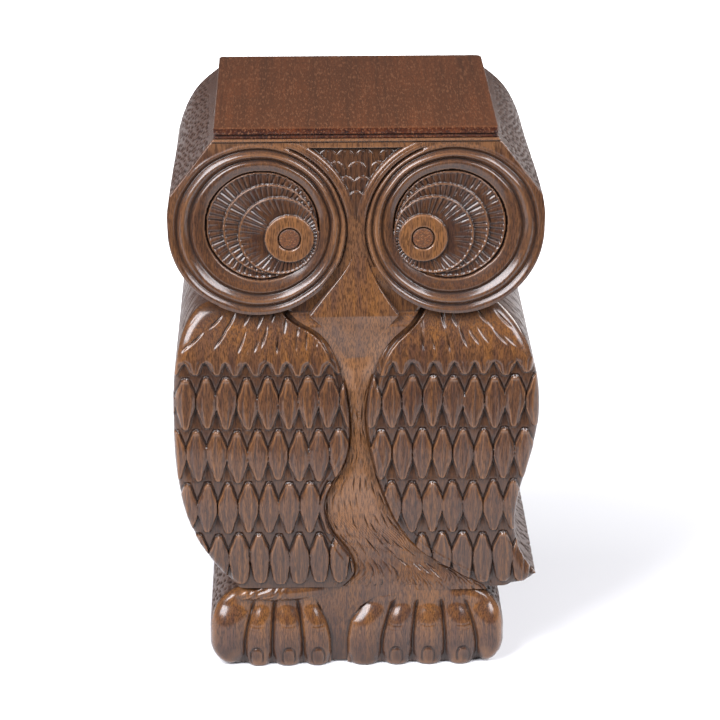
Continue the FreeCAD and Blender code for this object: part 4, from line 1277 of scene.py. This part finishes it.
# Metres. Each light has a name, a place, what it points at, its size, power and colour.
studio = {"eye": (-0.04677, -2.36275, 1.08757), "right": (0.99974, -0.02259, -0.00164),
          "down": (-0.00927, -0.34190, -0.93969), "ahead": (0.02066, 0.93947, -0.34202), "lens": 150.15,
          "air": 0.09, "airColor": (0.95, 0.96, 1.0, 1.0), "paper": (0.70, 0.70, 0.71, 1.0),
          "floorWide": 8.0, "floorFront": -0.55,
          "lights": [
              ("keyLeft", (-1.45, -1.3, 1.7), (0.0, 0.0, 0.3), (1.5, 1.8), 163.0, (0.95, 0.95, 1.0)),
              ("fillRight", (1.5, -1.25, 1.65), (0.0, 0.0, 0.3), (1.0, 1.5), 78.0, (0.95, 0.95, 1.0)),
              ("sideWash", (1.9, 1.0, 1.3), (0.75, 0.75, 0.0), (1.0, 1.0), 42.0, (1.0, 1.0, 1.0)),
              ("backWash", (0.0, 1.0, 2.3), (0.0, 3.8, 1.2), (5.0, 1.4), 330.0, (1.0, 1.0, 1.0))]}


# The camera, turned by its own right, down and ahead directions.
def makeCamera():
    data = bpy.data.cameras.new("camera")
    data.lens = studio["lens"]
    data.sensor_width = 36.0
    data.clip_end = 50.0
    camera = bpy.data.objects.new("camera", data)
    right, down, ahead = (Vector(studio[k]) for k in ("right", "down", "ahead"))
    turn = Matrix((right, -down, -ahead)).transposed().to_4x4()
    camera.matrix_world = Matrix.Translation(studio["eye"]) @ turn
    bpy.context.scene.collection.objects.link(camera)
    bpy.context.scene.camera = camera
    print("made the camera")


# A rectangular light that points at a place.
def makeLight(name, spot, aim, size, power, color):
    data = bpy.data.lights.new(name, "AREA")
    data.shape = "RECTANGLE"
    data.size, data.size_y = size
    data.energy = power
    data.color = color
    lamp = bpy.data.objects.new(name, data)
    lamp.location = spot
    lamp.rotation_euler = (Vector(aim) - Vector(spot)).to_track_quat("-Z", "Y").to_euler()
    bpy.context.scene.collection.objects.link(lamp)


# The floor, the air's light and the lamps.
def makeStudio():
    wide, front = studio["floorWide"], studio["floorFront"]
    mesh = bpy.data.meshes.new("floor")
    mesh.from_pydata([(-wide, front, 0), (wide, front, 0), (wide, wide, 0), (-wide, wide, 0)], [],
                     [(0, 1, 2, 3)])
    floor = bpy.data.objects.new("floor", mesh)
    bpy.context.scene.collection.objects.link(floor)
    paper = Finish("floorPaper")
    floor.data.materials.append(paper.close(studio["paper"], 0.9, specular=0.1))
    world = bpy.data.worlds.new("studioAir")
    world.use_nodes = True
    glow = world.node_tree.nodes["Background"]
    glow.inputs["Color"].default_value = studio["airColor"]
    glow.inputs["Strength"].default_value = studio["air"]
    bpy.context.scene.world = world
    bpy.context.scene.view_settings.view_transform = "Standard"
    for lamp in studio["lights"]:
        makeLight(*lamp)
    print("made the floor and", len(studio["lights"]), "lights")


makeCamera()
makeStudio()


# Gives each node that is kept from the frame the finish of its kind.
def finishKept():
    kinds = {"end_grain_wood": endGrain, "plain_wood": bareWood, "dowel_wood": dowelWood,
             "screw_metal": screwSteel}
    for part in frame["record"]["subparts"]:
        kept = bpy.data.objects.get(part["node"])
        kind = kinds.get(part["material_slot"])
        if kept is None or kind is None:
            continue
        if not kept.data.materials:
            kept.data.materials.append(kind)
        for k in range(len(kept.data.materials)):
            kept.data.materials[k] = kind
    print("kept nodes have their finishes")


finishKept()
